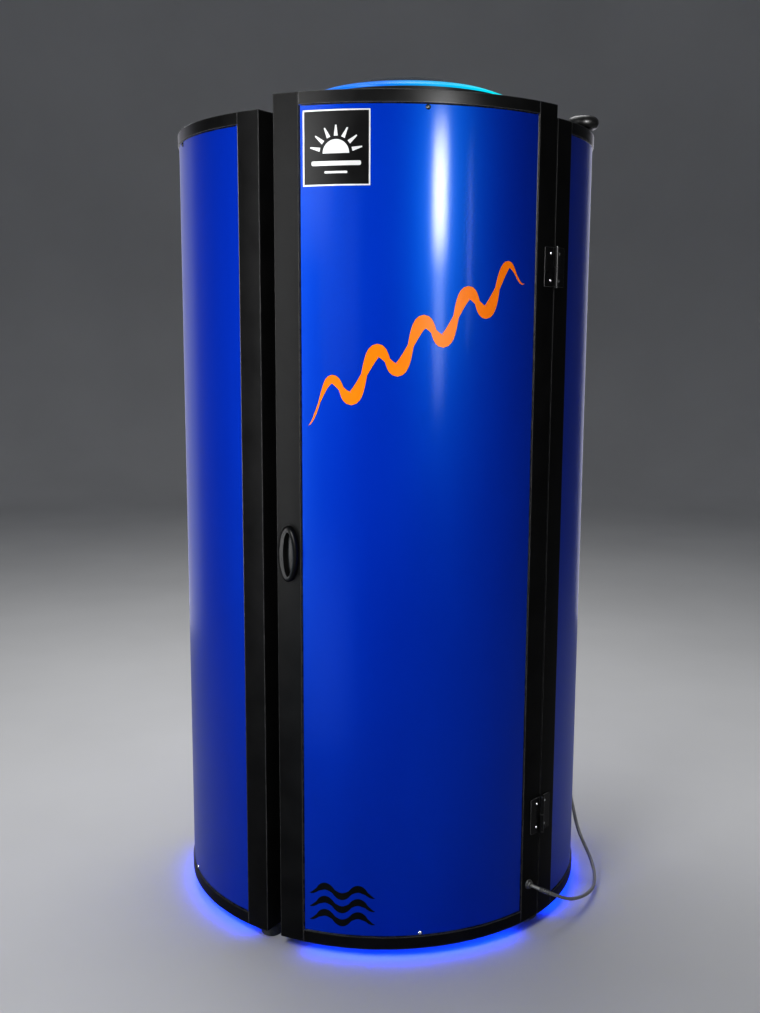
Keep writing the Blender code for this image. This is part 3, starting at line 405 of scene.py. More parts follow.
def make_surface(name, tones, grain, roughness, bump, edge_wear_and_sheen=None, specular=0.5, sockets=None,
                 stretch=(1, 1, 1)):
    """A procedural material.

    tones: two colours that a noise of the given grain mixes. roughness: its range over the same noise.
    bump: scale, strength and depth of the relief. The edge argument after bump gives the tone and width of
    lighter rounded-over edges: rubbed wear, and on the frame and top rails also a painted highlight along the
    edges.
    """
    material = bpy.data.materials.new(name)
    material.use_nodes = True
    tree = material.node_tree
    noise = link_noise(tree, grain, stretch, 4)
    colour = link_mix(tree, link_range(tree, noise, 0.0, 1.0), rgba(tones[0]), rgba(tones[1]))
    # Lighter rounded-over edges, broken up by scuffs: rubbed wear, and on the frame and top rails also a
    # painted highlight.
    if edge_wear_and_sheen:
        scuffs = link_range(tree, link_noise(tree, 60, (1, 1, 1), 6), 0.6, 1.0, 0.35, 0.65)
        rubbed_and_lit_edges = link_math(tree, "MULTIPLY", link_edges(tree, edge_wear_and_sheen[1]), scuffs)
        colour = link_mix(tree, rubbed_and_lit_edges, colour, rgba(edge_wear_and_sheen[0]))
    scale, strength, depth = bump
    relief = {"Height": link_noise(tree, scale, stretch, 3), "Strength": strength, "Distance": depth}
    looks = {"Base Color": colour, "Roughness": link_range(tree, noise, *roughness),
             "Normal": add_node(tree, "Bump", relief)["Normal"], "Specular IOR Level": specular}
    set_sockets(tree, tree.nodes["Principled BSDF"], looks | (sockets or {}))
    return material


def add_glow(material, colour, strength):
    """Makes a material give light. The colour and the strength are values or sockets."""
    tree = material.node_tree
    glow = {"Emission Color": colour, "Emission Strength": strength}
    set_sockets(tree, tree.nodes["Principled BSDF"], glow)


def add_painted_ring_glow(material, heights, sides, colours, strength):
    """Paints a glow into a material, ending between two heights and changing colour from side to side:
    painted light on a part that is no lamp.
    """
    tree = material.node_tree
    place = add_node(tree, "TexCoord", {})["Object"]
    split = add_node(tree, "SeparateXYZ", {"Vector": place})
    across = link_range(tree, split["X"], 0.0, 1.0, *sides)
    fade = link_range(tree, split["Z"], strength, 0.0, *heights)
    add_glow(material, link_mix(tree, across, rgba(colours[0]), rgba(colours[1])), fade)


def make_frame_materials():
    powder = (900, 0.12, 0.0002)
    return {
        "panel": make_surface(
            "gloss_blue_film", ((0.0, 0.034, 0.50), (0.0, 0.044, 0.58)), 3.0, (0.34, 0.42),
            (320, 0.03, 0.0002), specular=0.22, stretch=(1, 1, 0.25),
            sockets={"Coat Weight": 0.075, "Coat Roughness": 0.13, "Specular Tint": (0.0, 0.30, 1.0, 1.0)}),
        # The light edge tone of the frame and top rails is wear and also a painted highlight along their
        # rounded edges.
        "frame": make_surface(
            "satin_black_powder", (0.008, 0.013), 14.0, (0.36, 0.46), powder, (0.20, 0.0030), 0.03),
        "top_rail": make_surface(
            "sheen_black_powder", (0.008, 0.013), 14.0, (0.30, 0.38), powder, (0.20, 0.0030), 0.07),
        "gasket": make_surface(
            "gloss_gasket", (0.010, 0.018), 40.0, (0.22, 0.34), (700, 0.08, 0.0002), specular=0.25),
        "hinge": make_surface(
            "hinge_black_oxide", (0.005, 0.010), 70.0, (0.26, 0.42), (600, 0.15, 0.0001),
            (0.34, 0.0014), 0.10),
        "dark_screw": make_surface(
            "black_zinc", (0.004, 0.010), 120.0, (0.22, 0.32), (900, 0.1, 0.0001), specular=0.35),
        "pull": make_surface(
            "satin_black_abs", (0.006, 0.011), 30.0, (0.30, 0.38), (420, 0.04, 0.0001), specular=0.09),
        "deck": make_surface(
            "deck_black_powder", (0.010, 0.018), 10.0, (0.46, 0.60), (800, 0.15, 0.0002),
            (0.10, 0.0018), 0.08),
        "ballast": make_surface(
            "ballast_grey_powder", (0.16, 0.21), 16.0, (0.4, 0.55), (800, 0.15, 0.0002), (0.42, 0.0016)),
        "holder": make_surface("white_powder_steel", (0.62, 0.70), 18.0, (0.35, 0.5), (800, 0.12, 0.0002)),
        "floor": make_surface(
            "studio_floor", (0.62, 0.66), 1.2, (0.6, 0.75), (40, 0.02, 0.001), specular=0.0),
    }


def make_metals():
    metal = {"Metallic": 1.0}
    return {
        "reflector": make_surface("brushed_aluminium", (0.72, 0.88), 90.0, (0.16, 0.30), (500, 0.05, 0.0001),
                                  sockets=metal, stretch=(1, 1, 0.02)),
        "tube_cap": make_surface(
            "lamp_cap_aluminium", (0.55, 0.75), 60.0, (0.25, 0.4), (400, 0.08, 0.0001), sockets=metal),
        "steel": make_surface(
            "bright_steel", (0.50, 0.66), 120.0, (0.18, 0.34), (900, 0.1, 0.0001), sockets=metal),
        "wire": make_surface(
            "guard_chrome", (0.60, 0.72), 50.0, (0.08, 0.18), (500, 0.03, 0.0001), sockets=metal),
    }


def make_plastics():
    film = (220, 0.02, 0.0002)
    return {
        "tube": make_surface("phosphor_glass", ((0.62, 0.74, 0.95), (0.72, 0.83, 1.0)), 6.0, (0.12, 0.2),
                             (200, 0.02, 0.0001), sockets={"Coat Weight": 1.0, "Coat Roughness": 0.04}),
        "socket": make_surface("socket_plastic", (0.74, 0.80), 25.0, (0.3, 0.42), (500, 0.06, 0.0001)),
        "shield": make_surface("clear_acrylic", ((0.93, 0.97, 1.0), (0.96, 0.99, 1.0)), 4.0, (0.02, 0.06),
                               (60, 0.01, 0.0001), sockets={"Transmission Weight": 1.0, "IOR": 1.49}),
        "rubber": make_surface("black_rubber", (0.012, 0.026), 50.0, (0.65, 0.85), (500, 0.3, 0.0003)),
        "fan": make_surface("fan_black_nylon", (0.016, 0.030), 35.0, (0.4, 0.55), (600, 0.15, 0.0002)),
        "cap": make_surface(
            "cap_satin_grey", (0.022, 0.036), 24.0, (0.34, 0.44), (500, 0.04, 0.0001), specular=0.25),
        "timer": make_surface("timer_black_abs", (0.016, 0.024), 30.0, (0.36, 0.5), (900, 0.2, 0.0002)),
        "knob": make_surface(
            "knob_ivory", ((0.66, 0.65, 0.60), (0.74, 0.73, 0.68)), 30.0, (0.28, 0.4), (500, 0.05, 0.0001)),
        "gland": make_surface("gland_nylon", (0.05, 0.085), 60.0, (0.4, 0.55), (700, 0.15, 0.0002)),
        "cable": make_surface(
            "cable_pvc", ((0.20, 0.195, 0.18), (0.27, 0.265, 0.245)), 50.0, (0.4, 0.55), (900, 0.15, 0.0002)),
        "orange": make_surface(
            "orange_film", ((0.88, 0.215, 0.003), (0.95, 0.255, 0.006)), 12.0, (0.3, 0.4), film,
            specular=0.05),
        "white": make_surface("white_film", (0.78, 0.86), 14.0, (0.3, 0.42), film),
        "black": make_surface("black_film", (0.002, 0.005), 14.0, (0.30, 0.40), film, specular=0.10),
        "dome": make_surface(
            "smoked_acrylic", ((0.001, 0.005, 0.012), (0.002, 0.008, 0.018)), 5.0, (0.10, 0.16),
            (90, 0.01, 0.0002), specular=0.12),
        "strip": make_surface(
            "blue_light_strip", ((0.05, 0.15, 0.8), (0.10, 0.22, 1.0)), 30.0, (0.2, 0.3),
            (300, 0.05, 0.0001)),
    }


def make_materials():
    kit = make_frame_materials() | make_metals() | make_plastics()
    edge = FAN_CENTRE.z + DRUM_HEIGHT + FIT
    heights = [edge + share * DOME_RISE for share in PAINTED_GLOW_SHARES]
    sides = [FAN_CENTRE.x + side for side in PAINTED_GLOW_SIDES]
    # Painted glow: a blue-to-cyan band of light low on the dome, standing for the lamps' light shining
    # through it.
    add_painted_ring_glow(kit["dome"], heights, sides, ((0.006, 0.20, 0.85), (0.0, 0.70, 0.80)), 1.0)
    add_glow(kit["strip"], rgba((0.0, 0.045, 1.0)), 20.0)
    add_glow(kit["tube"], rgba((0.25, 0.42, 1.0)), 0.6)
    # Painted glow: the orange film is no lamp, but gives off a little orange light that keeps it bright under
    # the highlights.
    add_glow(kit["orange"], rgba((1.0, 0.20, 0.0)), 0.28)
    return kit


# Mesh helpers

def polar(radius, angle, height=0.0):
    return Vector((radius * sin(angle), -radius * cos(angle), height))


def spin(angle):
    return Matrix.Rotation(angle, 4, "Z")


def turn_out(angle, radius, height):
    """The matrix that sets a piece modelled with -Y outwards at a place round the cabin."""
    return Matrix.Translation(polar(radius, angle, height)) @ spin(angle)


def facing(angle, radius, height, way=1):
    """The matrix that turns +Z outwards at a place round the cabin, or inwards where way is -1."""
    return turn_out(angle, radius, height) @ Matrix.Rotation(way * pi / 2, 4, "X")


def steps_between(start, end, step=FINE_STEP):
    """Evenly spaced values from start to end, no further apart than step."""
    count = max(1, ceil(abs(end - start) / step - 1e-6))
    return [start + (end - start) * i / count for i in range(count + 1)]


def arc_points(radius, start, end):
    return [polar(radius, angle) for angle in steps_between(start, end)]


def rectangle(width, height, middle=(0, 0)):
    x, y = middle
    return ((x - width / 2, y - height / 2), (x + width / 2, y - height / 2),
            (x + width / 2, y + height / 2), (x - width / 2, y + height / 2))


def round_corners(points, radius, parts=3):
    """Fillets every corner of a closed outline of 2-D points."""
    rounded = []
    count = len(points)
    for i in range(count):
        here = Vector(points[i])
        before = Vector(points[i - 1]) - here
        after = Vector(points[(i + 1) % count]) - here
        reach = min(radius, before.length / 2.05, after.length / 2.05)
        first = here + before.normalized() * reach
        last = here + after.normalized() * reach
        for k in range(parts + 1):
            t = k / parts
            rounded.append(first * (1 - t) ** 2 + here * 2 * t * (1 - t) + last * t ** 2)
    return [tuple(point) for point in rounded]


def skin_rings(bm, rings):
    """Joins each ring of vertices to the next by faces."""
    for lower, upper in zip(rings, rings[1:]):
        for i in range(len(lower)):
            j = (i + 1) % len(lower)
            bm.faces.new((lower[i], lower[j], upper[j], upper[i]))


def add_loops(bm, loops):
    """Skins loops of equal count and closes both ends. Like every add function, it returns the mesh."""
    rings = [[bm.verts.new(point) for point in loop] for loop in loops]
    bm.faces.new(rings[0])
    bm.faces.new(rings[-1])
    skin_rings(bm, rings)
    return bm


def add_prism(bm, outline, bottom, top):
    """A closed solid between two heights with the given plan outline."""
    return add_loops(bm, [[(point[0], point[1], level) for point in outline] for level in (bottom, top)])


def add_slab(bm, outline, front, back):
    """A closed solid between two places along Y with the given (x, z) outline."""
    return add_loops(bm, [[(x, y, z) for x, z in outline] for y in (front, back)])


def add_box(bm, low, high):
    outline = ((low[0], low[1]), (high[0], low[1]), (high[0], high[1]), (low[0], high[1]))
    return add_prism(bm, outline, low[2], high[2])


def add_sector(bm, inner, outer, start, end, bottom, top):
    return add_prism(bm, arc_points(outer, start, end) + arc_points(inner, end, start), bottom, top)


def add_arc_sweep(bm, profile, start, end):
    """Sweeps a closed profile of (radius, height) points round Z."""
    angles = steps_between(start, end)
    return add_loops(bm, [[polar(radius, angle, height) for radius, height in profile] for angle in angles])


def add_copy(bm, other, matrix=None):
    """Adds a mesh to another at a place, and frees it."""
    mesh = bpy.data.meshes.new("copy")
    other.to_mesh(mesh)
    other.free()
    if matrix:
        mesh.transform(matrix)
    bm.from_mesh(mesh)
    bpy.data.meshes.remove(mesh)
    return bm


def add_turned(bm, profile, sides=ROUND_SIDES, closed=False, centre=(0, 0, 0)):
    """Turns a profile of (radius, height) points. An open profile starts and ends on the axis."""
    fresh = bmesh.new()
    verts = [fresh.verts.new((radius, 0, height)) for radius, height in profile]
    pairs = list(zip(verts, verts[1:]))
    if closed:
        pairs.append((verts[-1], verts[0]))
    edges = [fresh.edges.new(pair) for pair in pairs]
    bmesh.ops.spin(fresh, geom=verts + edges, axis=(0, 0, 1), cent=(0, 0, 0), angle=2 * pi, steps=sides)
    bmesh.ops.remove_doubles(fresh, verts=fresh.verts, dist=1e-6)
    bmesh.ops.translate(fresh, verts=fresh.verts, vec=Vector(centre))
    return add_copy(bm, fresh)


def add_tube(bm, path, radii, sides=16, closed=False):
    """A round tube along a path, with one radius for all points or one each."""
    count = len(path)
    if not hasattr(radii, "__len__"):
        radii = [radii] * count
    turns = [2 * pi * k / sides for k in range(sides)]
    loops = []
    side = None
    for i in range(count):
        before = path[i - 1] if closed or i else path[0]
        after = path[(i + 1) % count] if closed or i + 1 < count else path[-1]
        along = (after - before).normalized()
        if side is None:
            side = along.orthogonal()
        side = (side - along * side.dot(along)).normalized()
        other = along.cross(side)
        loops.append([path[i] + (side * cos(t) + other * sin(t)) * radii[i] for t in turns])
    if not closed:
        return add_loops(bm, loops)
    rings = [[bm.verts.new(point) for point in loop] for loop in loops]
    twist = min(range(sides), key=lambda k: (rings[0][k].co - rings[-1][0].co).length)
    rings.append([rings[0][(k + twist) % sides] for k in range(sides)])
    skin_rings(bm, rings)
    return bm


# Pieces

def make_object(name, bm, material, matrix=None):
    """A mesh object at the origin whose place is in its mesh."""
    bmesh.ops.recalc_face_normals(bm, faces=bm.faces)
    mesh = bpy.data.meshes.new(name)
    bm.to_mesh(mesh)
    bm.free()
    if matrix:
        mesh.transform(matrix)
    mesh.shade_smooth()
    mesh.set_sharp_from_angle(angle=SMOOTH_ANGLE)
    if material:
        mesh.materials.append(material)
    piece = bpy.data.objects.new(name, mesh)
    bpy.context.scene.collection.objects.link(piece)
    return piece


def cut(piece, bm, matrix=None):
    """Cuts a shape out of a piece."""
    tool = make_object("tool", bm, None, matrix)
    modifier = piece.modifiers.new("Cut", "BOOLEAN")
    modifier.operation = "DIFFERENCE"
    modifier.object = tool
    graph = bpy.context.evaluated_depsgraph_get()
    mesh = bpy.data.meshes.new_from_object(piece.evaluated_get(graph))
    piece.modifiers.clear()
    piece.data = mesh
    bpy.data.objects.remove(tool, do_unlink=True)


def soften(piece, width, segments=3):
    """Rounds a piece's sharp edges."""
    modifier = piece.modifiers.new("Soft edges", "BEVEL")
    modifier.width = width
    modifier.segments = segments
    modifier.limit_method = "ANGLE"
    modifier.angle_limit = SMOOTH_ANGLE
    piece.data.shade_smooth()


def settle(piece, body, stands_for=()):
    """Puts a piece on its body and hides the nodes it stands for. Its large faces are shaded flat."""
    shading = piece.modifiers.new("Flat faces", "WEIGHTED_NORMAL")
    shading.keep_sharp = True
    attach(piece, body)
    if stands_for:
        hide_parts(*stands_for)


def make_piece(name, bm, material, body, stands_for=(), matrix=None, edge=None):
    """A whole piece. An edge is the width and segments that round its sharp edges."""
    piece = make_object(name, bm, material, matrix)
    if edge:
        soften(piece, *edge)
    settle(piece, body, stands_for)


def make_skin(node, bm, material, body, matrix=None, edge=None):
    """The piece that stands for one node."""
    make_piece(node + "_skin", bm, material, body, [node], matrix, edge)


def make_screw_head():
    """A pan-head screw of unit radius with a crossed recess, along +Z."""
    foot, recess, rise = -0.05, 0.18, 0.55
    long, short = 0.6, 0.13
    crown = [(cos(t), rise * sin(t)) for t in steps_between(0, radians(78), radians(13))]
    solid = add_turned(bmesh.new(), [(0, foot), (1, foot)] + crown + [(0, rise)], 24)
    head = make_object("screw_head", solid, None)
    arms = ((-long, -short), (-short, -short), (-short, -long), (short, -long), (short, -short),
            (long, -short), (long, short), (short, short), (short, long), (-short, long), (-short, short),
            (-long, short))
    cut(head, add_prism(bmesh.new(), arms, recess, 1.0))
    mesh = head.data
    bpy.data.objects.remove(head)
    return mesh


SCREW_HEAD = make_screw_head()


def make_screws(name, radius, places, material, body):
    """Screw heads that stand on faces, each along the +Z of its matrix."""
    bm = bmesh.new()
    for place in places:
        head = bmesh.new()
        head.from_mesh(SCREW_HEAD)
        add_copy(bm, head, place @ spin(pi / 4) @ Matrix.Scale(radius, 4))
    make_piece(name, bm, material, body)


# Walls

def make_wall_piece(wall, name, bm, material, node=None):
    """A piece of a wall, turned to the wall's place round the cabin."""
    stands_for = [wall.prefix + node] if node else []
    make_piece(wall.prefix + name, bm, material, wall.body, stands_for, spin(wall.turn))


def make_post(wall, name, side, kit):
    """A folded post with closed ends, open towards the wall's middle."""
    end = side * wall.arc / 2
    edge = end - side * POST_ARC
    web = end - side * FRAME_WALL / OUTER_RADIUS
    past_edge = edge - side * FRAME_WALL / OUTER_RADIUS
    solid = add_sector(bmesh.new(), INNER_RADIUS, OUTER_RADIUS, end, edge, FLOOR_GAP, wall.top)
    hollow = add_sector(bmesh.new(), INNER_RADIUS + FRAME_WALL, OUTER_RADIUS - FRAME_WALL, web, past_edge,
                        FLOOR_GAP + FRAME_WALL, wall.top - FRAME_WALL)
    post = make_object(wall.prefix + name + "_skin", solid, kit["frame"], spin(wall.turn))
    cut(post, hollow, spin(wall.turn))
    soften(post, FOLD_ROUND)
    settle(post, wall.body, [wall.prefix + name])


def make_rail(wall, name, flange_end, web_face, material):
    """A curved channel between the posts, with rounded folds."""
    inside = copysign(FRAME_WALL, flange_end - web_face) + web_face
    outer = OUTER_RADIUS - FRAME_WALL
    inner = INNER_RADIUS + FRAME_WALL
    profile = ((OUTER_RADIUS, web_face), (OUTER_RADIUS, flange_end), (outer, flange_end), (outer, inside),
               (inner, inside), (inner, flange_end), (INNER_RADIUS, flange_end), (INNER_RADIUS, web_face))
    half = wall.arc / 2 - POST_ARC - FIT / INNER_RADIUS
    channel = add_arc_sweep(bmesh.new(), round_corners(profile, FOLD_ROUND), -half, half)
    make_wall_piece(wall, name + "_skin", channel, material, name)


def make_sheet(wall, slot, inner, thickness, kit):
    """A curved sheet whose edges lap behind the posts and rails."""
    half = wall.arc / 2 - POST_ARC + PANEL_LAP / OUTER_RADIUS
    low = FLOOR_GAP + BOTTOM_RAIL_HEIGHT - PANEL_LAP
    high = wall.top - TOP_RAIL_HEIGHT + PANEL_LAP
    outer = inner + thickness
    profile = ((inner, low), (inner, high), (outer, high), (outer, low))
    sheet = add_arc_sweep(bmesh.new(), profile, -half, half)
    make_wall_piece(wall, f"_{slot}_skin", sheet, kit[slot], "_" + slot)


def make_gasket(wall, kit):
    """A rubber bead in the corner between the panel and its frame."""
    half = wall.arc / 2 - POST_ARC - GASKET_RADIUS / OUTER_RADIUS
    low = FLOOR_GAP + BOTTOM_RAIL_HEIGHT + GASKET_RADIUS
    high = wall.top - TOP_RAIL_HEIGHT - GASKET_RADIUS
    ring = PANEL_FACE + GASKET_RADIUS / 2
    path = [polar(ring, angle, low) for angle in steps_between(-half, half)]
    path += [polar(ring, angle, high) for angle in steps_between(half, -half)]
    bead = add_tube(bmesh.new(), path, GASKET_RADIUS, 8, closed=True)
    make_wall_piece(wall, "_gasket", bead, kit["gasket"])


def make_lamps(wall, kit):
    """Glass tubes with metal caps in sockets, on the holder strips."""
    low = FLOOR_GAP + FRAME_WALL + FIT
    high = wall.top - FRAME_WALL - FIT
    holder = (high - low - LAMP_LENGTH) / 2
    faces = (low + holder, high - holder)
    pitch = LAMP_PITCH / LAMP_CENTRES
    count = max(1, floor((wall.arc - 2 * POST_ARC) / pitch))
    half = count * pitch / 2
    inner, outer = LAMP_CENTRES - HOLDER_DEPTH / 2, LAMP_CENTRES + HOLDER_DEPTH / 2
    strips, sockets, caps, glass = (bmesh.new() for _ in range(4))
    for end, face in zip((low, high), faces):
        outline = ((inner, end), (inner, face), (outer, face), (outer, end))
        add_arc_sweep(strips, round_corners(outline, HOLDER_ROUND), -half, half)
    neck = SOCKET_HEIGHT + LAMP_CAP_HEIGHT
    wide, narrow, necked = LAMP_RADIUS + SOCKET_WALL, LAMP_RADIUS - GLASS_INSET, LAMP_RADIUS - GLASS_NECK
    cup = ((0, 0), (wide, 0), (wide, SOCKET_HEIGHT - SOCKET_WALL), (LAMP_RADIUS, SOCKET_HEIGHT),
           (0, SOCKET_HEIGHT))
    cap = ((0, SOCKET_HEIGHT), (LAMP_RADIUS - LAMP_CAP_EDGE, SOCKET_HEIGHT),
           (LAMP_RADIUS, SOCKET_HEIGHT + 2 * LAMP_CAP_EDGE), (LAMP_RADIUS, neck), (0, neck))
    start, end = faces[0] + neck, faces[1] - neck
    tube = ((0, start), (necked, start), (narrow, start + GLASS_SHOULDER), (narrow, end - GLASS_SHOULDER),
            (necked, end), (0, end))
    for i in range(count):
        centre = polar(LAMP_CENTRES, (i - (count - 1) / 2) * pitch)
        for face, way in zip(faces, (1, -1)):
            add_turned(sockets, [(r, face + way * z) for r, z in cup], LAMP_SIDES, centre=centre)
            add_turned(caps, [(r, face + way * z) for r, z in cap], LAMP_SIDES, centre=centre)
        add_turned(glass, tube, LAMP_SIDES, centre=centre)
    make_wall_piece(wall, "_lamp_holders", strips, kit["holder"])
    make_wall_piece(wall, "_lamp_sockets", sockets, kit["socket"])
    make_wall_piece(wall, "_lamp_caps", caps, kit["tube_cap"])
    make_wall_piece(wall, "_lamp_tubes", glass, kit["tube"], "_lamps")


def make_light_strip(wall, kit):
    """The strip of blue light below the bottom rail."""
    inner, outer = STRIP_RADII
    low = FLOOR_GAP - STRIP_WALL
    outline = ((inner, FLOOR_GAP), (outer, FLOOR_GAP), (outer, low), (inner, low))
    half = wall.arc / 2 - POST_ARC
    strip = add_arc_sweep(bmesh.new(), round_corners(outline, STRIP_WALL / 3, 2), -half, half)
    make_wall_piece(wall, "_light_strip", strip, kit["strip"])


def make_walls(kit):
    for wall in WALLS:
        make_post(wall, wall.posts[0], -1, kit)
        make_post(wall, wall.posts[1], 1, kit)
        make_rail(wall, "_top_rail", wall.top - TOP_RAIL_HEIGHT, wall.top, kit["top_rail"])
        make_rail(wall, "_bottom_rail", FLOOR_GAP + BOTTOM_RAIL_HEIGHT, FLOOR_GAP, kit["frame"])
        make_sheet(wall, "panel", PANEL_FACE - PANEL_WALL, PANEL_WALL, kit)
        make_sheet(wall, "shield", INNER_RADIUS + FRAME_WALL + FIT, SHIELD_WALL, kit)
        make_gasket(wall, kit)
        make_lamps(wall, kit)
        make_light_strip(wall, kit)
        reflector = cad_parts[wall.prefix + "_reflector"].data
        reflector.materials.clear()
        reflector.materials.append(kit["reflector"])


# Hinges, pull and panel screws

def make_leaf(name, height, side, kit, body):
    """A hinge leaf with rounded corners and its half of the barrel."""
    half = LEAF_HEIGHT / 2
    low, high = (FIT / 2, half) if side < 0 else (-half, -FIT / 2)
    inner_edge = BARREL_RADIUS + FIT
    tilt = side * (inner_edge + LEAF_WIDTH / 2) / OUTER_RADIUS
    outline = round_corners(rectangle(LEAF_WIDTH, LEAF_HEIGHT), LEAF_ROUND, 4)
    plate = add_slab(bmesh.new(), outline, 0, -LEAF_WALL)
    bm = add_copy(bmesh.new(), plate, turn_out(HINGE_ANGLE + tilt, OUTER_RADIUS + FIT, height))
    axis = turn_out(HINGE_ANGLE, HINGE_RADIUS, height)
    rim, bore = BARREL_RADIUS - BARREL_EDGE, PIN_RADIUS + FIT
    profile = ((rim, low), (BARREL_RADIUS, low + BARREL_EDGE), (BARREL_RADIUS, high - BARREL_EDGE),
               (rim, high), (bore, high), (bore, low))
    add_copy(bm, add_turned(bmesh.new(), profile, 28, closed=True), axis)
    reach = sorted((side * (BARREL_RADIUS - LEAF_WALL / 2), side * (inner_edge + LEAF_WALL)))
    depth = HINGE_RADIUS - OUTER_RADIUS - FIT
    wrap = add_box(bmesh.new(), (reach[0], depth - LEAF_WALL, low), (reach[1], depth - LEAF_WALL / 4, high))
    add_copy(bm, wrap, axis)
    make_skin(name, bm, kit["hinge"], body, edge=EDGES["leaf"])


def make_pin(name, height, kit):
    """A hinge pin with a domed head at each end."""
    end = LEAF_HEIGHT / 2 + FIT
    crown = [(PIN_HEAD_RADIUS * cos(t), end + PIN_HEAD_EDGE + PIN_HEAD_CROWN * sin(t))
             for t in steps_between(0, radians(80), radians(16))]
    top = [(PIN_RADIUS, end), (PIN_HEAD_RADIUS, end)] + crown + [(0, end + PIN_HEAD_EDGE + PIN_HEAD_CROWN)]
    profile = [(r, -z) for r, z in reversed(top)] + top
    place = Matrix.Translation(polar(HINGE_RADIUS, HINGE_ANGLE, height))
    make_skin(name, add_turned(bmesh.new(), profile, 28), kit["dark_screw"], "booth", place)


def make_hinges(kit):
    for label, height in zip(("lower", "upper"), HINGE_HEIGHTS):
        make_leaf(label + "_hinge_door_leaf", height, -1, kit, "door")
        make_leaf(label + "_hinge_wing_leaf", height, 1, kit, "booth")
        make_pin(label + "_hinge_pin", height, kit)
    shift, rise = LEAF_SCREWS
    heights = [height + step for height in HINGE_HEIGHTS for step in (-rise, rise)]
    for body, side in (("door", -1), ("booth", 1)):
        angle = HINGE_ANGLE + side * shift / OUTER_RADIUS
        places = [facing(angle, OUTER_RADIUS + LEAF_WALL, height) for height in heights]
        make_screws(body + "_hinge_screws", SCREWS["hinge"], places, kit["steel"], body)


def ellipse(width, height, shift=0.0, sides=72):
    turns = [2 * pi * i / sides for i in range(sides)]
    return [(shift + width / 2 * cos(turn), height / 2 * sin(turn)) for turn in turns]


def pull_rings():
    """Width, height, sideways shift and depth of the pull's loops, from its foot to the recess's floor."""
    fine, coarse = radians(15), radians(30)
    rings = [(PULL_WIDTH - 2 * PULL_FOOT, PULL_HEIGHT - 2 * PULL_FOOT, 0.0, 0.0),
             (PULL_WIDTH, PULL_HEIGHT, 0.0, PULL_FOOT)]
    for turn in steps_between(0, pi / 2, fine):
        inset = 2 * PULL_ROUND * (1 - cos(turn))
        depth = PULL_DEPTH - PULL_ROUND * (1 - sin(turn))
        rings.append((PULL_WIDTH - inset, PULL_HEIGHT - inset, 0.0, depth))
    shift = PULL_RIM / 4
    width, height = PULL_WIDTH - 2 * PULL_RIM, PULL_HEIGHT - 2 * PULL_RIM
    for turn in steps_between(0, pi / 2, coarse):
        grow = 2 * PULL_LIP * (1 - sin(turn))
        rings.append((width + grow, height + grow, shift, PULL_DEPTH - PULL_LIP * (1 - cos(turn))))
    for turn in steps_between(0, pi / 2, fine):
        inset = 2 * PULL_RIM / 4 * (1 - cos(turn)) + PULL_RIM / 2
        depth = PULL_DEPTH - PULL_RECESS + PULL_RIM / 4 * (1 - sin(turn))
        rings.append((width - inset, height - inset, shift, depth))
    return rings


def make_pull(kit):
    """The oval finger pull: a rounded cup whose recess is nearer the hinge side."""
    angle = -DOOR_ARC / 2 + POST_ARC / 2 + PULL_SHIFT / OUTER_RADIUS
    loops = [[(x, -out, z) for x, z in ellipse(wide, tall, shift)] for wide, tall, shift, out in pull_rings()]
    place = turn_out(angle, OUTER_RADIUS + FIT, PULL_CENTRE_HEIGHT)
    make_skin("door_pull", add_loops(bmesh.new(), loops), kit["pull"], "door", place)


def make_panel_screws(kit):
    """One screw at the top middle and one at the bottom middle of each panel."""
    for wall in WALLS:
        top = facing(wall.turn, PANEL_FACE, wall.top - TOP_RAIL_HEIGHT - TOP_SCREW_DROP)
        bottom = facing(wall.turn, PANEL_FACE, FLOOR_GAP + BOTTOM_RAIL_HEIGHT + BOTTOM_SCREW_RISE)
        make_screws(wall.prefix + "_top_screw", SCREWS["panel_top"], [top], kit["dark_screw"], wall.body)
        make_screws(wall.prefix + "_bottom_screw", SCREWS["panel_bottom"], [bottom], kit["steel"], wall.body)


# Cable

def smooth_route(points, step):
    """Points of a Catmull-Rom curve through the given points."""
    path = []
    padded = [points[0] * 2 - points[1]] + points + [points[-1] * 2 - points[-2]]
    for before, start, end, after in zip(padded, padded[1:], padded[2:], padded[3:]):
        count = max(1, round((end - start).length / step))
        for i in range(count):
            t = i / count
            blend = 2 * start + (end - before) * t
            blend += (2 * before - 5 * start + 4 * end - after) * t ** 2
            blend += (3 * start - before - 3 * end + after) * t ** 3
            path.append(blend / 2)
    path.append(points[-1])
    return path


def gland_bend(gland, bend):
    """The cable's bend at a gland: straight out of it, then round to a slope along the wall, either way."""
    angle, face, height = gland
    way, slope, sweep = bend
    out = polar(1, angle)
    along = polar(way * cos(slope), angle + pi / 2, sin(slope))
    nose = polar(face + GLAND_LENGTH + FIT, angle, height)
    points = [nose]
    for turn in steps_between(0, sweep, BEND_STEP):
        reach = CABLE_RADIUS / 2 + CABLE_BEND * sin(turn)
        points.append(nose + out * reach + along * CABLE_BEND * (1 - cos(turn)))
    return points


def cable_path():
    middle = [polar(radius, radians(angle), height) for angle, radius, height in CABLE_ROUTE]
    last = gland_bend(WING_GLAND, WING_BEND)[::-1]
    return smooth_route(gland_bend(DOOR_GLAND, DOOR_BEND) + middle + last, CABLE_STEP)


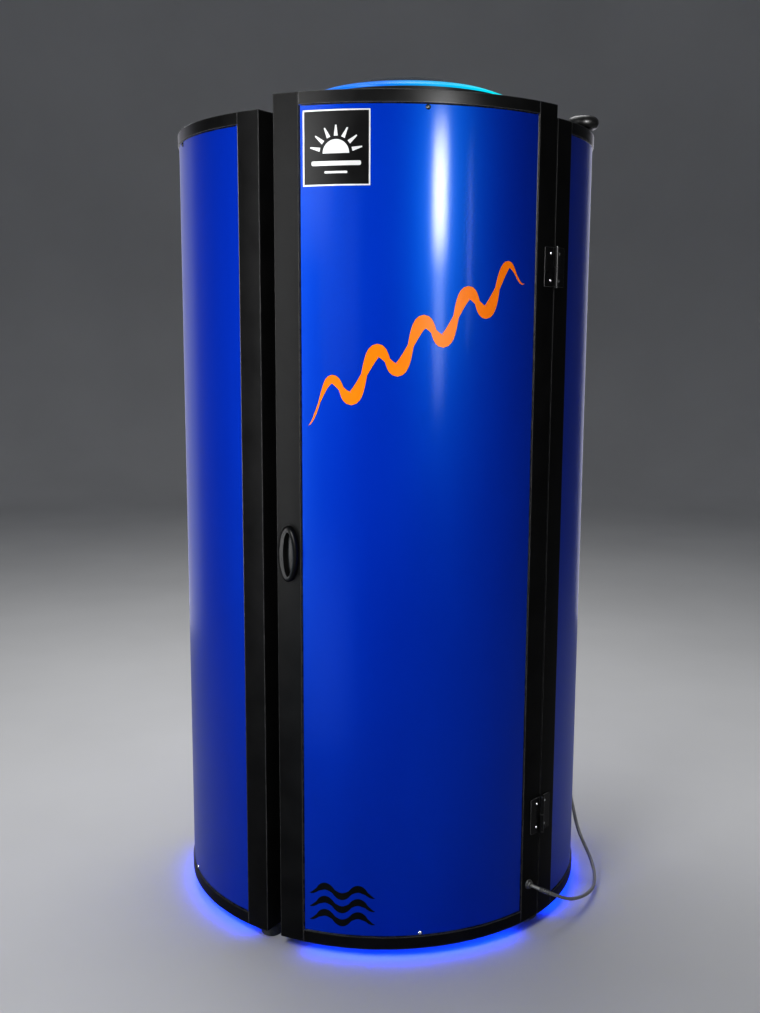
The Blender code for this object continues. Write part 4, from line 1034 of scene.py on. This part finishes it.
def add_sleeve(bm, path):
    """The ribbed sleeve on the cable near the start of its path."""
    points, radii = [], []
    travelled = 0.0
    for a, b in zip(path, path[1:]):
        travelled += (b - a).length
        share = (travelled - SLEEVE_START) / SLEEVE_LENGTH
        if 0 < share < 1:
            wave = 0.5 + 0.5 * cos(2 * pi * SLEEVE_RIBS * share)
            points.append(b)
            radii.append(CABLE_RADIUS + SLEEVE_WALL + SLEEVE_RIB * wave)
    return add_tube(bm, points, radii, 20)


def make_gland(name, gland, kit, body):
    """A cable gland: flange, hexagon, and a nut that closes on the cable."""
    angle, face, height = gland
    edge = GLAND_FLANGE / 3
    flange = ((0, 0), (GLAND_RADIUS, 0), (GLAND_RADIUS, GLAND_FLANGE - edge),
              (GLAND_RADIUS - edge, GLAND_FLANGE), (0, GLAND_FLANGE))
    bm = add_turned(bmesh.new(), flange, 32)
    turns = [pi * i / 3 for i in range(6)]
    hexagon = [(HEXAGON_RADIUS * cos(turn), HEXAGON_RADIUS * sin(turn)) for turn in turns]
    add_prism(bm, round_corners(hexagon, *CORNERS["hexagon"]), GLAND_FLANGE, HEXAGON_TOP)
    add_turned(bm, ((0, HEXAGON_TOP),) + NUT + ((0, GLAND_LENGTH),), 32)
    make_skin(name, bm, kit["gland"], body, facing(angle, face, height))


def make_cable(kit):
    """The link cable with its ribbed sleeve. It bends between the door and the right wing."""
    path = cable_path()
    cable = make_object("link_cable_skin", add_tube(bmesh.new(), path, CABLE_RADIUS, 20), kit["cable"])
    sleeve = add_sleeve(bmesh.new(), smooth_route(path[:SLEEVE_POINTS], SLEEVE_STEP))
    ribbed = make_object("link_cable_sleeve", sleeve, kit["gland"])
    for piece in (cable, ribbed):
        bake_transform(piece)
    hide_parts("link_cable")


# Roof, vents and feet

def make_deck(kit):
    """The roof sheet, cut back clear of the door, with a round hole for the fan."""
    margin = DECK_MARGIN / INNER_RADIUS
    first = RIGHT_START + margin
    last = LEFT_END + 2 * pi - margin
    outline = arc_points(DECK_EDGE, first, last) + arc_points(DECK_FRONT, last, first + 2 * pi)
    deck = make_object("roof_deck_skin", add_prism(bmesh.new(), outline, DECK_BOTTOM, DECK_TOP), kit["deck"])
    hole = ((0, -CUT_PAST), (FAN_HOLE, -CUT_PAST), (FAN_HOLE, CUT_PAST), (0, CUT_PAST))
    cut(deck, add_turned(bmesh.new(), hole, 96, centre=FAN_CENTRE))
    soften(deck, *EDGES["deck"])
    settle(deck, "booth", ["roof_deck"])
    angles = steps_between(first + margin, last - margin, DECK_SCREW_STEP)
    places = [Matrix.Translation(polar(DECK_EDGE - DECK_SCREW_INSET, angle, DECK_TOP)) for angle in angles]
    make_screws("roof_deck_screws", SCREWS["sheet"], places, kit["steel"], "booth")


def make_drum(kit):
    """The slotted ring under the dome."""
    inner, lip = DOME_RADIUS - DRUM_WALL, DOME_RADIUS - DRUM_FLANGE
    profile = ((DOME_RADIUS, DRUM_HEIGHT), (DOME_RADIUS, 0), (lip, 0), (lip, DRUM_WALL), (inner, DRUM_WALL),
               (inner, DRUM_HEIGHT))
    ring = add_turned(bmesh.new(), round_corners(profile, *CORNERS["drum"]), 128, closed=True)
    drum = make_object("fan_drum_skin", ring, kit["deck"], Matrix.Translation(FAN_CENTRE))
    middle = (DRUM_HEIGHT + DRUM_WALL) / 2
    outline = round_corners(rectangle(SLOT_WIDTH, SLOT_HEIGHT, (0, middle)), SLOT_ROUND, 4)
    through = (inner - CUT_PAST, DOME_RADIUS + CUT_PAST)
    slots = bmesh.new()
    for i in range(DRUM_SLOTS):
        slot = add_loops(bmesh.new(), [[(x, y, z) for y, z in outline] for x in through])
        add_copy(slots, slot, spin(2 * pi * (i + 0.5) / DRUM_SLOTS))
    cut(drum, slots, Matrix.Translation(FAN_CENTRE))
    settle(drum, "booth", ["fan_drum"])


def make_dome(kit):
    """The domed cap: a spherical shell with a rolled edge."""
    sphere = (DOME_RADIUS ** 2 + DOME_RISE ** 2) / (2 * DOME_RISE)
    centre = DOME_RISE - sphere
    roll = DOME_WALL / 4
    reaches = asin((DOME_RADIUS - roll) / sphere), asin((DOME_RADIUS - DOME_WALL) / sphere)
    outer, inner = [
        [(sphere * sin(t), centre + sphere * cos(t) + lift) for t in steps_between(0, reach)]
        for reach, lift in zip(reaches, (DOME_WALL, 0))]
    edge = [(DOME_RADIUS, DOME_WALL - roll), (DOME_RADIUS, DOME_EDGE), (DOME_RADIUS - DOME_EDGE, 0)]
    shell = add_turned(bmesh.new(), outer + edge + [(DOME_RADIUS - DOME_WALL, 0)] + inner[::-1], 128)
    place = Matrix.Translation(FAN_CENTRE + Vector((0, 0, DRUM_HEIGHT + FIT)))
    make_skin("fan_dome", shell, kit["dome"], "booth", place)


def make_guard(kit):
    """The finger guard: wire rings on crossed bars."""
    outer = FAN_HOLE + GUARD_LAP
    centre = Vector((FAN_CENTRE.x, FAN_CENTRE.y, DECK_BOTTOM - FIT - GUARD_WIRE))
    bm = bmesh.new()
    for i in range(GUARD_RINGS):
        radius = outer * (i + 1) / GUARD_RINGS - GUARD_WIRE
        ring = [centre + polar(radius, t) for t in steps_between(0, 2 * pi, radians(5))[:-1]]
        add_tube(bm, ring, GUARD_WIRE, 8, closed=True)
    for turn in (pi / 4, 3 * pi / 4):
        span = polar(outer - GUARD_WIRE, turn)
        add_tube(bm, [centre + span * share for share in (-1, -0.5, 0, 0.5, 1)], GUARD_WIRE, 8)
    make_skin("fan_guard", bm, kit["wire"], "booth")


def make_vent(name, angle, kit):
    """A round cap with a rolled edge on a slotted pipe."""
    roll = VENT_CAP_HEIGHT / 2
    stem, bore = VENT_STEM_RADIUS, VENT_STEM_RADIUS - VENT_STEM_WALL
    flange, top, edge = VENT_FLANGE_RADIUS, VENT_FLANGE_TOP, VENT_FLANGE_EDGE
    roof = VENT_RISE + VENT_BORE_DEPTH
    profile = [(0, VENT_RISE + VENT_CAP_HEIGHT)]
    profile += [(VENT_CAP_RADIUS - roll + roll * sin(t), VENT_RISE + roll + roll * cos(t))
                for t in steps_between(0, pi, radians(12))]
    profile += [(stem, VENT_RISE), (stem, top), (flange - edge, top), (flange, top - edge), (flange, FIT),
                (stem, FIT), (stem, -FRAME_WALL), (bore, -FRAME_WALL), (bore, roof), (0, roof)]
    place = turn_out(angle, VENT_CENTRES, WING_TOP)
    vent = make_object(name + "_skin", add_turned(bmesh.new(), profile, 64), kit["cap"], place)
    low = FIT + FRAME_WALL + VENT_SLOT_MARGIN
    for turn in (0, pi / 2):
        outline = rectangle(4 * stem, VENT_SLOT_WIDTH)
        cut(vent, add_prism(bmesh.new(), outline, low, VENT_RISE - VENT_SLOT_MARGIN), place @ spin(turn))
    settle(vent, "booth", [name])


def make_foot(name, angle, kit):
    """A tapered rubber pad with grip ribs."""
    top = FLOOR_GAP - FIT
    profile = [(0, top), (FOOT_RADIUS, top), (FOOT_RADIUS, top - FOOT_RIM)]
    for i in range(FOOT_RIBS):
        level = top - 1.5 * FOOT_RIM - FOOT_RIB_PITCH * i
        radius = FOOT_RADIUS - FOOT_TAPER * (i + 1)
        groove = radius - FOOT_RIB_DEPTH
        profile += [(radius, level), (groove, level - FOOT_RIB_DEPTH), (groove, level - FOOT_GROOVE)]
    profile += [*FOOT_SOLE, (0, 0)]
    pad = add_turned(bmesh.new(), profile)
    make_skin(name, pad, kit["rubber"], "booth", Matrix.Translation(polar(FOOT_CENTRES, angle)))


# Fan

def make_motor(kit):
    """The fan's fixed half: a grooved stator and its shaft on a spider that is screwed to the deck."""
    radius, inset = MOTOR_RADIUS, MOTOR_RADIUS - MOTOR_EDGE
    profile = [(0, HUB_TOP), (SHAFT_RADIUS - SHAFT_EDGE, HUB_TOP), (SHAFT_RADIUS, HUB_TOP - SHAFT_EDGE),
               (SHAFT_RADIUS, MOTOR_TOP), (inset, MOTOR_TOP), (radius, MOTOR_TOP - MOTOR_EDGE)]
    mouth, bed = GROOVE_MOUTH / 2, GROOVE_FLOOR / 2
    for i in range(MOTOR_GROOVES):
        level = MOTOR_TOP - (MOTOR_TOP - SPIDER_WALL) / (MOTOR_GROOVES + 1) * (i + 1)
        profile += [(radius, level + mouth), (inset, level + bed), (inset, level - bed),
                    (radius, level - mouth)]
    profile += [(radius, SPIDER_WALL / 4), (0, SPIDER_WALL / 4)]
    place = Matrix.Translation(FAN_CENTRE)
    make_skin("fan_motor", add_turned(bmesh.new(), profile, 64), kit["fan"], "booth", place)
    start = MOTOR_RADIUS - SPIDER_ROOT
    outline = rectangle(SPIDER_REACH - start, SPIDER_WIDTH, ((SPIDER_REACH + start) / 2, 0))
    rib_ends = [Vector((x, 0, SPIDER_WALL)) for x in (start, FAN_HOLE - SPIDER_WIDTH)]
    turns = [place @ spin(2 * pi * i / 3) for i in range(3)]
    arms = bmesh.new()
    for turn in turns:
        add_copy(arms, add_prism(bmesh.new(), round_corners(outline, SPIDER_WALL), 0, SPIDER_WALL), turn)
        add_copy(arms, add_tube(bmesh.new(), rib_ends, SPIDER_RIB, 12), turn)
    make_piece("fan_spider", arms, kit["deck"], "booth", edge=EDGES["spider"])
    on_arm = Matrix.Translation((SPIDER_REACH - SPIDER_WIDTH / 2, 0, SPIDER_WALL))
    places = [turn @ on_arm for turn in turns]
    make_screws("fan_spider_screws", SCREWS["sheet"], places, kit["steel"], "booth")


def blade_loop(share):
    """The section of a fan blade at a share of its span: cambered, and drawn in at the tip."""
    root = HUB_OUTSIDE - BLADE_ROOT
    radius = root + (FAN_RADIUS - root) * share
    pitch = BLADE_PITCHES[0] + (BLADE_PITCHES[1] - BLADE_PITCHES[0]) * share
    tip = max(0.0, (share - 1 + BLADE_TIP) / BLADE_TIP)
    chord = BLADE_CHORD * (0.35 + 0.65 * sqrt(1 - 0.98 * tip ** 2))
    upper, lower = [], []
    for u in steps_between(0, 1, 1 / 14):
        half = BLADE_WALL / 2 * sqrt(max(0.02, sin(pi * u ** 0.7)))
        bow = BLADE_CAMBER * 4 * u * (1 - u)
        along = (u - 0.5) * chord
        for side, points in ((1, upper), (-1, lower)):
            rise = bow - BLADE_CAMBER / 2 + side * half
            level = (HUB_LOW + HUB_TOP) / 2 + along * sin(pitch) + rise * cos(pitch)
            points.append((radius, along * cos(pitch) - rise * sin(pitch), level))
    return upper + lower[::-1]


def make_rotor(kit):
    """The fan's turning half: a dished hub cup over the stator, with twisted blades."""
    bore = SHAFT_RADIUS + FIT
    flat, brim, dish = HUB_DISH
    wide, level = HUB_OUTSIDE - HUB_ROUND, HUB_TOP - HUB_ROUND
    crown = [(wide + HUB_ROUND * sin(t), level + HUB_ROUND * cos(t))
             for t in steps_between(0, pi / 2, radians(15))]
    profile = [(bore, HUB_TOP - dish), (flat, HUB_TOP - dish), (brim, HUB_TOP)] + crown
    profile += [(HUB_OUTSIDE, HUB_LOW), (HUB_INSIDE, HUB_LOW), (HUB_INSIDE, HUB_UNDER), (bore, HUB_UNDER)]
    bm = add_turned(bmesh.new(), profile, 72, closed=True)
    for i in range(BLADES):
        blade = add_loops(bmesh.new(), [blade_loop(share) for share in steps_between(0, 1, 1 / 24)])
        bmesh.ops.recalc_face_normals(blade, faces=blade.faces)
        add_copy(bm, blade, spin(2 * pi * i / BLADES))
    make_skin("fan_rotor", bm, kit["fan"], "fan", Matrix.Translation(FAN_CENTRE))


# Ballast box, timer and stop strip

def make_ballast_box(kit):
    """A sheet-metal tray with cooling slots in its back, and a lid that laps over it."""
    size = BALLAST_SIZE
    middle = (0, size.y / 2)
    place = Matrix.Translation((0, BALLAST_FRONT, DECK_TOP + FIT))
    plan = round_corners(rectangle(size.x - BALLAST_LAP, size.y - BALLAST_LAP, middle), BALLAST_LAP)
    tray = make_object("ballast_tray", add_prism(bmesh.new(), plan, 0, BALLAST_TRAY), kit["ballast"], place)
    slots = bmesh.new()
    for i in range(BALLAST_SLOTS):
        pair = (i - (BALLAST_SLOTS - 1) / 2) * size.x / (BALLAST_SLOTS + 1)
        for shift in (-BALLAST_SLOT_SHIFT, BALLAST_SLOT_SHIFT):
            outline = rectangle(*BALLAST_SLOT_SIZE, (pair + shift, BALLAST_SLOT_HEIGHT))
            outline = round_corners(outline, *CORNERS["tray_slot"])
            add_slab(slots, outline, size.y - BALLAST_SLOT_DEPTH, size.y + CUT_PAST)
    cut(tray, slots, place)
    soften(tray, *EDGES["tray"])
    settle(tray, "booth", ["ballast_box"])
    plan = round_corners(rectangle(size.x, size.y, middle), *CORNERS["lid"])
    lid = add_prism(bmesh.new(), plan, BALLAST_TRAY - LID_LAP, size.z)
    make_piece("ballast_lid", lid, kit["ballast"], "booth", matrix=place, edge=EDGES["lid"])
    level = (BALLAST_TRAY - LID_LAP + size.z) / 2
    places = []
    for side in (-1, 1):
        for y in (BALLAST_SCREW_INSET, size.y - BALLAST_SCREW_INSET):
            sideways = Matrix.Rotation(side * pi / 2, 4, "Y")
            places.append(place @ Matrix.Translation((side * size.x / 2, y, level)) @ sideways)
    make_screws("ballast_screws", SCREWS["ballast"], places, kit["steel"], "booth")


def make_timer(kit):
    """The timer box inside the cabin, with its dial marks and its knob."""
    size = TIMER_SIZE
    back = INNER_RADIUS * cos(POST_ARC / 2) - FIT
    face = facing(RIGHT_START + POST_ARC / 2, back - size.y, TIMER_HEIGHT, -1)
    outline = round_corners(rectangle(size.x, size.z), *CORNERS["timer"])
    box = add_prism(bmesh.new(), outline, -size.y, 0)
    make_skin("timer_box", box, kit["timer"], "booth", face, EDGES["timer"])
    marks = bmesh.new()
    start, short, long = DIAL_RADII
    for i in range(DIAL_MARKS):
        reach = short if i % 5 else long
        low = (start, -DIAL_MARK_HALF, -DIAL_MARK_SINK)
        high = (reach, DIAL_MARK_HALF, PRINT_RISE)
        add_copy(marks, add_box(bmesh.new(), low, high), face @ spin(DIAL_START - DIAL_STEP * i))
    make_piece("timer_marks", marks, kit["white"], "booth")
    places = [face @ Matrix.Translation((0, rise, 0)) for rise in (-TIMER_SCREW_RISE, TIMER_SCREW_RISE)]
    make_screws("timer_screws", SCREWS["timer"], places, kit["dark_screw"], "booth")
    make_knob(kit, face @ Matrix.Translation((0, 0, FIT)))


def make_knob(kit, place):
    """A ridged skirt with a grip bar across it and a pointer line."""
    loops = []
    turns = [2 * pi * i / (4 * KNOB_RIDGES) for i in range(4 * KNOB_RIDGES)]
    for shrink, level in KNOB_RINGS:
        radii = [KNOB_RADIUS - shrink - KNOB_RIDGE * (1 - cos(KNOB_RIDGES * turn)) for turn in turns]
        loops.append([(r * cos(turn), r * sin(turn), level) for r, turn in zip(radii, turns)])
    make_skin("timer_knob", add_loops(bmesh.new(), loops), kit["knob"], "timer", place)
    outline = round_corners(rectangle(KNOB_GRIP_WIDTH, KNOB_GRIP_LENGTH), *CORNERS["grip"])
    grip = add_prism(bmesh.new(), outline, KNOB_SKIRT - KNOB_SINK, KNOB_HEIGHT)
    make_piece("timer_knob_grip", grip, kit["knob"], "timer", matrix=place, edge=EDGES["grip"])
    outline = round_corners(rectangle(*POINTER_SIZE, (0, POINTER_MIDDLE)), *CORNERS["pointer"])
    pointer = add_prism(bmesh.new(), outline, KNOB_HEIGHT - KNOB_SINK, KNOB_HEIGHT + PRINT_RISE)
    make_piece("timer_knob_pointer", pointer, kit["black"], "timer", matrix=place)


def make_stop(kit):
    """The rubber strip on the left wing that closes the latch gap from inside, ribbed along its length."""
    outer = INNER_RADIUS - FIT
    start = LEFT_END - POST_ARC
    end = -DOOR_ARC / 2 + STOP_LAP / INNER_RADIUS
    inner = []
    for angle in steps_between(end, start, FINE_STEP / 4):
        wave = cos(2 * pi * (angle - start) * outer / STOP_RIB_PITCH)
        inner.append(polar(outer - STOP_WALL + STOP_RIB * (1 + wave), angle))
    low, high = FLOOR_GAP + STOP_END_GAP, WING_TOP - STOP_END_GAP
    strip = add_prism(bmesh.new(), arc_points(outer, start, end) + inner, low, high)
    make_skin("door_stop", strip, kit["rubber"], "booth")
    heights = steps_between(low + STOP_SCREW_INSET, high - STOP_SCREW_INSET, STOP_SCREW_PITCH)
    places = [facing((start + LEFT_END) / 2, outer - STOP_WALL, height, -1) for height in heights]
    make_screws("door_stop_screws", SCREWS["sheet"], places, kit["dark_screw"], "booth")


# Films on the door

def add_film(bm, outline, place, level):
    """A thin film with a flat outline of (across, up) points, wrapped on the door panel."""
    angle, height = place
    fresh = bmesh.new()
    fresh.faces.new([fresh.verts.new((x, 0, z)) for x, z in outline])
    across = [x for x, z in outline]
    for x in steps_between(min(across), max(across), 0.008)[1:-1]:
        geometry = fresh.verts[:] + fresh.edges[:] + fresh.faces[:]
        bmesh.ops.bisect_plane(fresh, geom=geometry, plane_co=(x, 0, 0), plane_no=(1, 0, 0), dist=1e-7)
    bmesh.ops.triangulate(fresh, faces=[face for face in fresh.faces if len(face.verts) > 4])
    skin = bmesh.ops.extrude_face_region(fresh, geom=fresh.faces[:])
    raised = [item for item in skin["geom"] if isinstance(item, bmesh.types.BMVert)]
    bmesh.ops.translate(fresh, verts=raised, vec=(0, -FILM_WALL, 0))
    for vert in fresh.verts:
        x, out, z = vert.co
        vert.co = polar(PANEL_FACE + level - out, angle + x / PANEL_FACE, height + z)
    add_copy(bm, fresh)


def make_film(name, outlines, place, level, material):
    bm = bmesh.new()
    for outline in outlines:
        add_film(bm, outline, place, level)
    make_piece(name, bm, material, "door")


def sun_ray(i):
    """One of the tapered rays over the half sun."""
    turn = pi * (i + 0.5) / SUN_RAYS
    along = Vector((cos(turn), sin(turn)))
    across = Vector((-along.y, along.x))
    start, end = [Vector((0, SUN_HORIZON)) + along * reach for reach in RAY_REACH]
    wide, narrow = RAY_WIDTHS
    corners = (start - across * wide, end - across * narrow, end + across * narrow, start + across * wide)
    return [tuple(corner) for corner in corners]


def make_label(kit):
    """A black square plate with a white edge line and a plain half sun over two bars."""
    width, height = LABEL_SIZE
    field = rectangle(width - 2 * LABEL_EDGE, height - 2 * LABEL_EDGE)
    make_film("label_edge", [rectangle(width, height)], LABEL_PLACE, 0.0, kit["white"])
    make_film("label_field", [field], LABEL_PLACE, FILM_WALL, kit["black"])
    turns = steps_between(0, pi, radians(6))
    sun = [(SUN_RADIUS * cos(turn), SUN_HORIZON + SUN_RADIUS * sin(turn)) for turn in turns]
    bars = [round_corners(rectangle(*size), size[1] * 0.4) for size in LABEL_BARS]
    marks = [sun] + [sun_ray(i) for i in range(SUN_RAYS)] + bars
    make_film("label_marks", marks, LABEL_PLACE, 2 * FILM_WALL, kit["white"])


def wave_outline(length, crests, swing, thin, thick, slope=0.0):
    """A wave ribbon that is thick on its crests and thin between them, with pointed ends."""
    upper, lower = [], []
    for share in steps_between(0, 1, 1 / (24 * crests)):
        turn = 2 * pi * crests * share
        fade = min(1.0, 6 * share, 6 * (1 - share))
        centre = Vector(((share - 0.5) * length, (share - 0.5) * length * slope - swing * cos(turn)))
        climb = length * slope + swing * 2 * pi * crests * sin(turn)
        heading = Vector((length, climb)).normalized()
        half = (thin + (thick - thin) * abs(cos(turn))) / 2 * fade + 0.0004
        across = Vector((-heading.y, heading.x)) * half
        upper.append(tuple(centre + across))
        lower.append(tuple(centre - across))
    return upper + lower[::-1]


def make_films(kit):
    make_label(kit)
    make_film("orange_wave", [wave_outline(**RIBBON)], RIBBON_PLACE, 0.0, kit["orange"])
    waves = [[(x, z + rise) for x, z in wave_outline(**WAVE)] for rise in (-WAVES_PITCH, 0, WAVES_PITCH)]
    make_film("black_waves", waves, WAVES_PLACE, 0.0, kit["black"])


# Stage

def make_stage(kit):
    """A pale floor that curves up into a pale wall all round."""
    turns = steps_between(0, pi / 2, radians(6))
    bend = [(FLOOR_RADIUS + FLOOR_BEND * sin(turn), FLOOR_BEND * (1 - cos(turn))) for turn in turns]
    profile = [(0, 0), (1.5, 0), (4, 0)] + bend + [(FLOOR_RADIUS + FLOOR_BEND, WALL_HEIGHT)]
    bm = bmesh.new()
    verts = [bm.verts.new((radius, 0, height)) for radius, height in profile]
    edges = [bm.edges.new(pair) for pair in zip(verts, verts[1:])]
    bmesh.ops.spin(bm, geom=verts + edges, axis=(0, 0, 1), cent=(0, 0, 0), angle=2 * pi, steps=96)
    bmesh.ops.remove_doubles(bm, verts=bm.verts, dist=1e-5)
    make_object("studio_floor", bm, kit["floor"])


def soften_box(data):
    """Fades a soft box from its middle to its edges and keeps its power: the mean of 6u(1 - u) is one."""
    data.use_nodes = True
    tree = data.node_tree
    place = add_node(tree, "NewGeometry", {})["Parametric"]
    split = add_node(tree, "SeparateXYZ", {"Vector": place})
    fade = 1.0
    for along in (split["X"], split["Y"]):
        rest = link_math(tree, "SUBTRACT", 1.0, along)
        hump = link_math(tree, "MULTIPLY", link_math(tree, "MULTIPLY", along, rest), 6.0)
        fade = link_math(tree, "MULTIPLY", fade, hump)
    set_sockets(tree, tree.nodes["Emission"], {"Strength": fade})


def add_light(name, angle, distance, height, width, tall, power, lights="sheen", aim=1.1,
              colour=(1, 1, 1), soft=False):
    """A soft box that stands round the booth and faces it, for sheen on gloss, for matt light, or for all."""
    data = bpy.data.lights.new(name, "AREA")
    data.shape = "RECTANGLE"
    data.size = width
    data.size_y = tall
    data.energy = power
    data.color = colour
    if soft:
        soften_box(data)
    light = bpy.data.objects.new(name, data)
    light.location = polar(distance, radians(angle), height)
    light.rotation_euler = (Vector((0, 0, aim)) - light.location).to_track_quat("-Z", "Y").to_euler()
    light.visible_camera = False
    light.visible_diffuse = lights != "sheen"
    light.visible_glossy = lights != "matt"
    bpy.context.scene.collection.objects.link(light)


def make_lights():
    """The studio's air and its soft boxes.

    The numbers of a box are its angle in degrees, distance, height, width, tallness and power.
    """
    world = bpy.data.worlds.new("studio_air")
    world.use_nodes = True
    air = world.node_tree.nodes["Background"]
    air.inputs["Color"].default_value = (0.80, 0.84, 0.92, 1.0)
    air.inputs["Strength"].default_value = 0.13
    bpy.context.scene.world = world
    lilac = (0.91, 0.90, 1.0)
    cool = (0.45, 0.72, 1.0)
    add_light("key_box", -31, 2.0, 1.75, 0.65, 0.90, 19.5, "matt")
    add_light("top_box", 180, 1.0, 4.2, 2.5, 2.5, 110, "all", aim=0.0)
    add_light("patch_box", -44, 2.0, 2.18, 0.85, 1.00, 18, soft=True)
    add_light("left_strip_box", -58, 2.06, 1.40, 0.35, 1.9, 68)
    add_light("low_strip_box", -38, 2.06, 0.37, 1.20, 1.00, 9.5, colour=cool, soft=True)
    add_light("streak_box", 16, 2.9, 2.10, 0.44, 0.62, 150, aim=1.9, soft=True)
    add_light("streak_tail_box", 16, 2.9, 1.60, 0.34, 0.90, 20, aim=1.9, soft=True)
    add_light("thin_streak_box", 31, 2.9, 1.90, 0.09, 0.90, 4.5, aim=1.9, soft=True)
    add_light("left_rim_box", -152, 2.8, 1.3, 2.2, 2.6, 18, colour=lilac)
    add_light("dome_rim_box", -166, 3.0, 2.95, 0.7, 0.35, 5, aim=2.1)
    add_light("right_rim_box", 142, 3.0, 1.3, 1.0, 2.6, 13, colour=lilac)


def make_camera():
    """The photograph's viewpoint."""
    ahead = Vector(CAMERA_AHEAD).normalized()
    right = ahead.cross(Vector((0, 0, 1))).normalized()
    up = right.cross(ahead)
    tilted_right = right * cos(CAMERA_ROLL) + up * sin(CAMERA_ROLL)
    tilted_up = up * cos(CAMERA_ROLL) - right * sin(CAMERA_ROLL)
    data = bpy.data.cameras.new("camera")
    data.sensor_width = 36.0
    data.lens = CAMERA_LENS
    camera = bpy.data.objects.new("camera", data)
    turn = Matrix((tilted_right, tilted_up, -ahead)).transposed().to_4x4()
    camera.matrix_world = Matrix.Translation(CAMERA_PLACE) @ turn
    bpy.context.scene.collection.objects.link(camera)
    bpy.context.scene.camera = camera


def main():
    kit = make_materials()
    make_camera()
    make_lights()
    make_stage(kit)
    make_gland("door_gland", DOOR_GLAND, kit, "door")
    make_gland("wing_gland", WING_GLAND, kit, "booth")
    make_cable(kit)
    make_walls(kit)
    make_hinges(kit)
    make_pull(kit)
    make_panel_screws(kit)
    make_films(kit)
    make_deck(kit)
    make_drum(kit)
    make_dome(kit)
    make_guard(kit)
    for side, angle in VENT_ANGLES.items():
        make_vent(side + "_vent_cap", angle, kit)
    for name, angle in FEET.items():
        make_foot(name, angle, kit)
    make_motor(kit)
    make_rotor(kit)
    make_ballast_box(kit)
    make_timer(kit)
    make_stop(kit)
    bpy.context.scene.view_settings.view_transform = "Standard"
    bpy.context.scene.view_settings.look = "Medium High Contrast"


main()
bpy.context.view_layer.update()
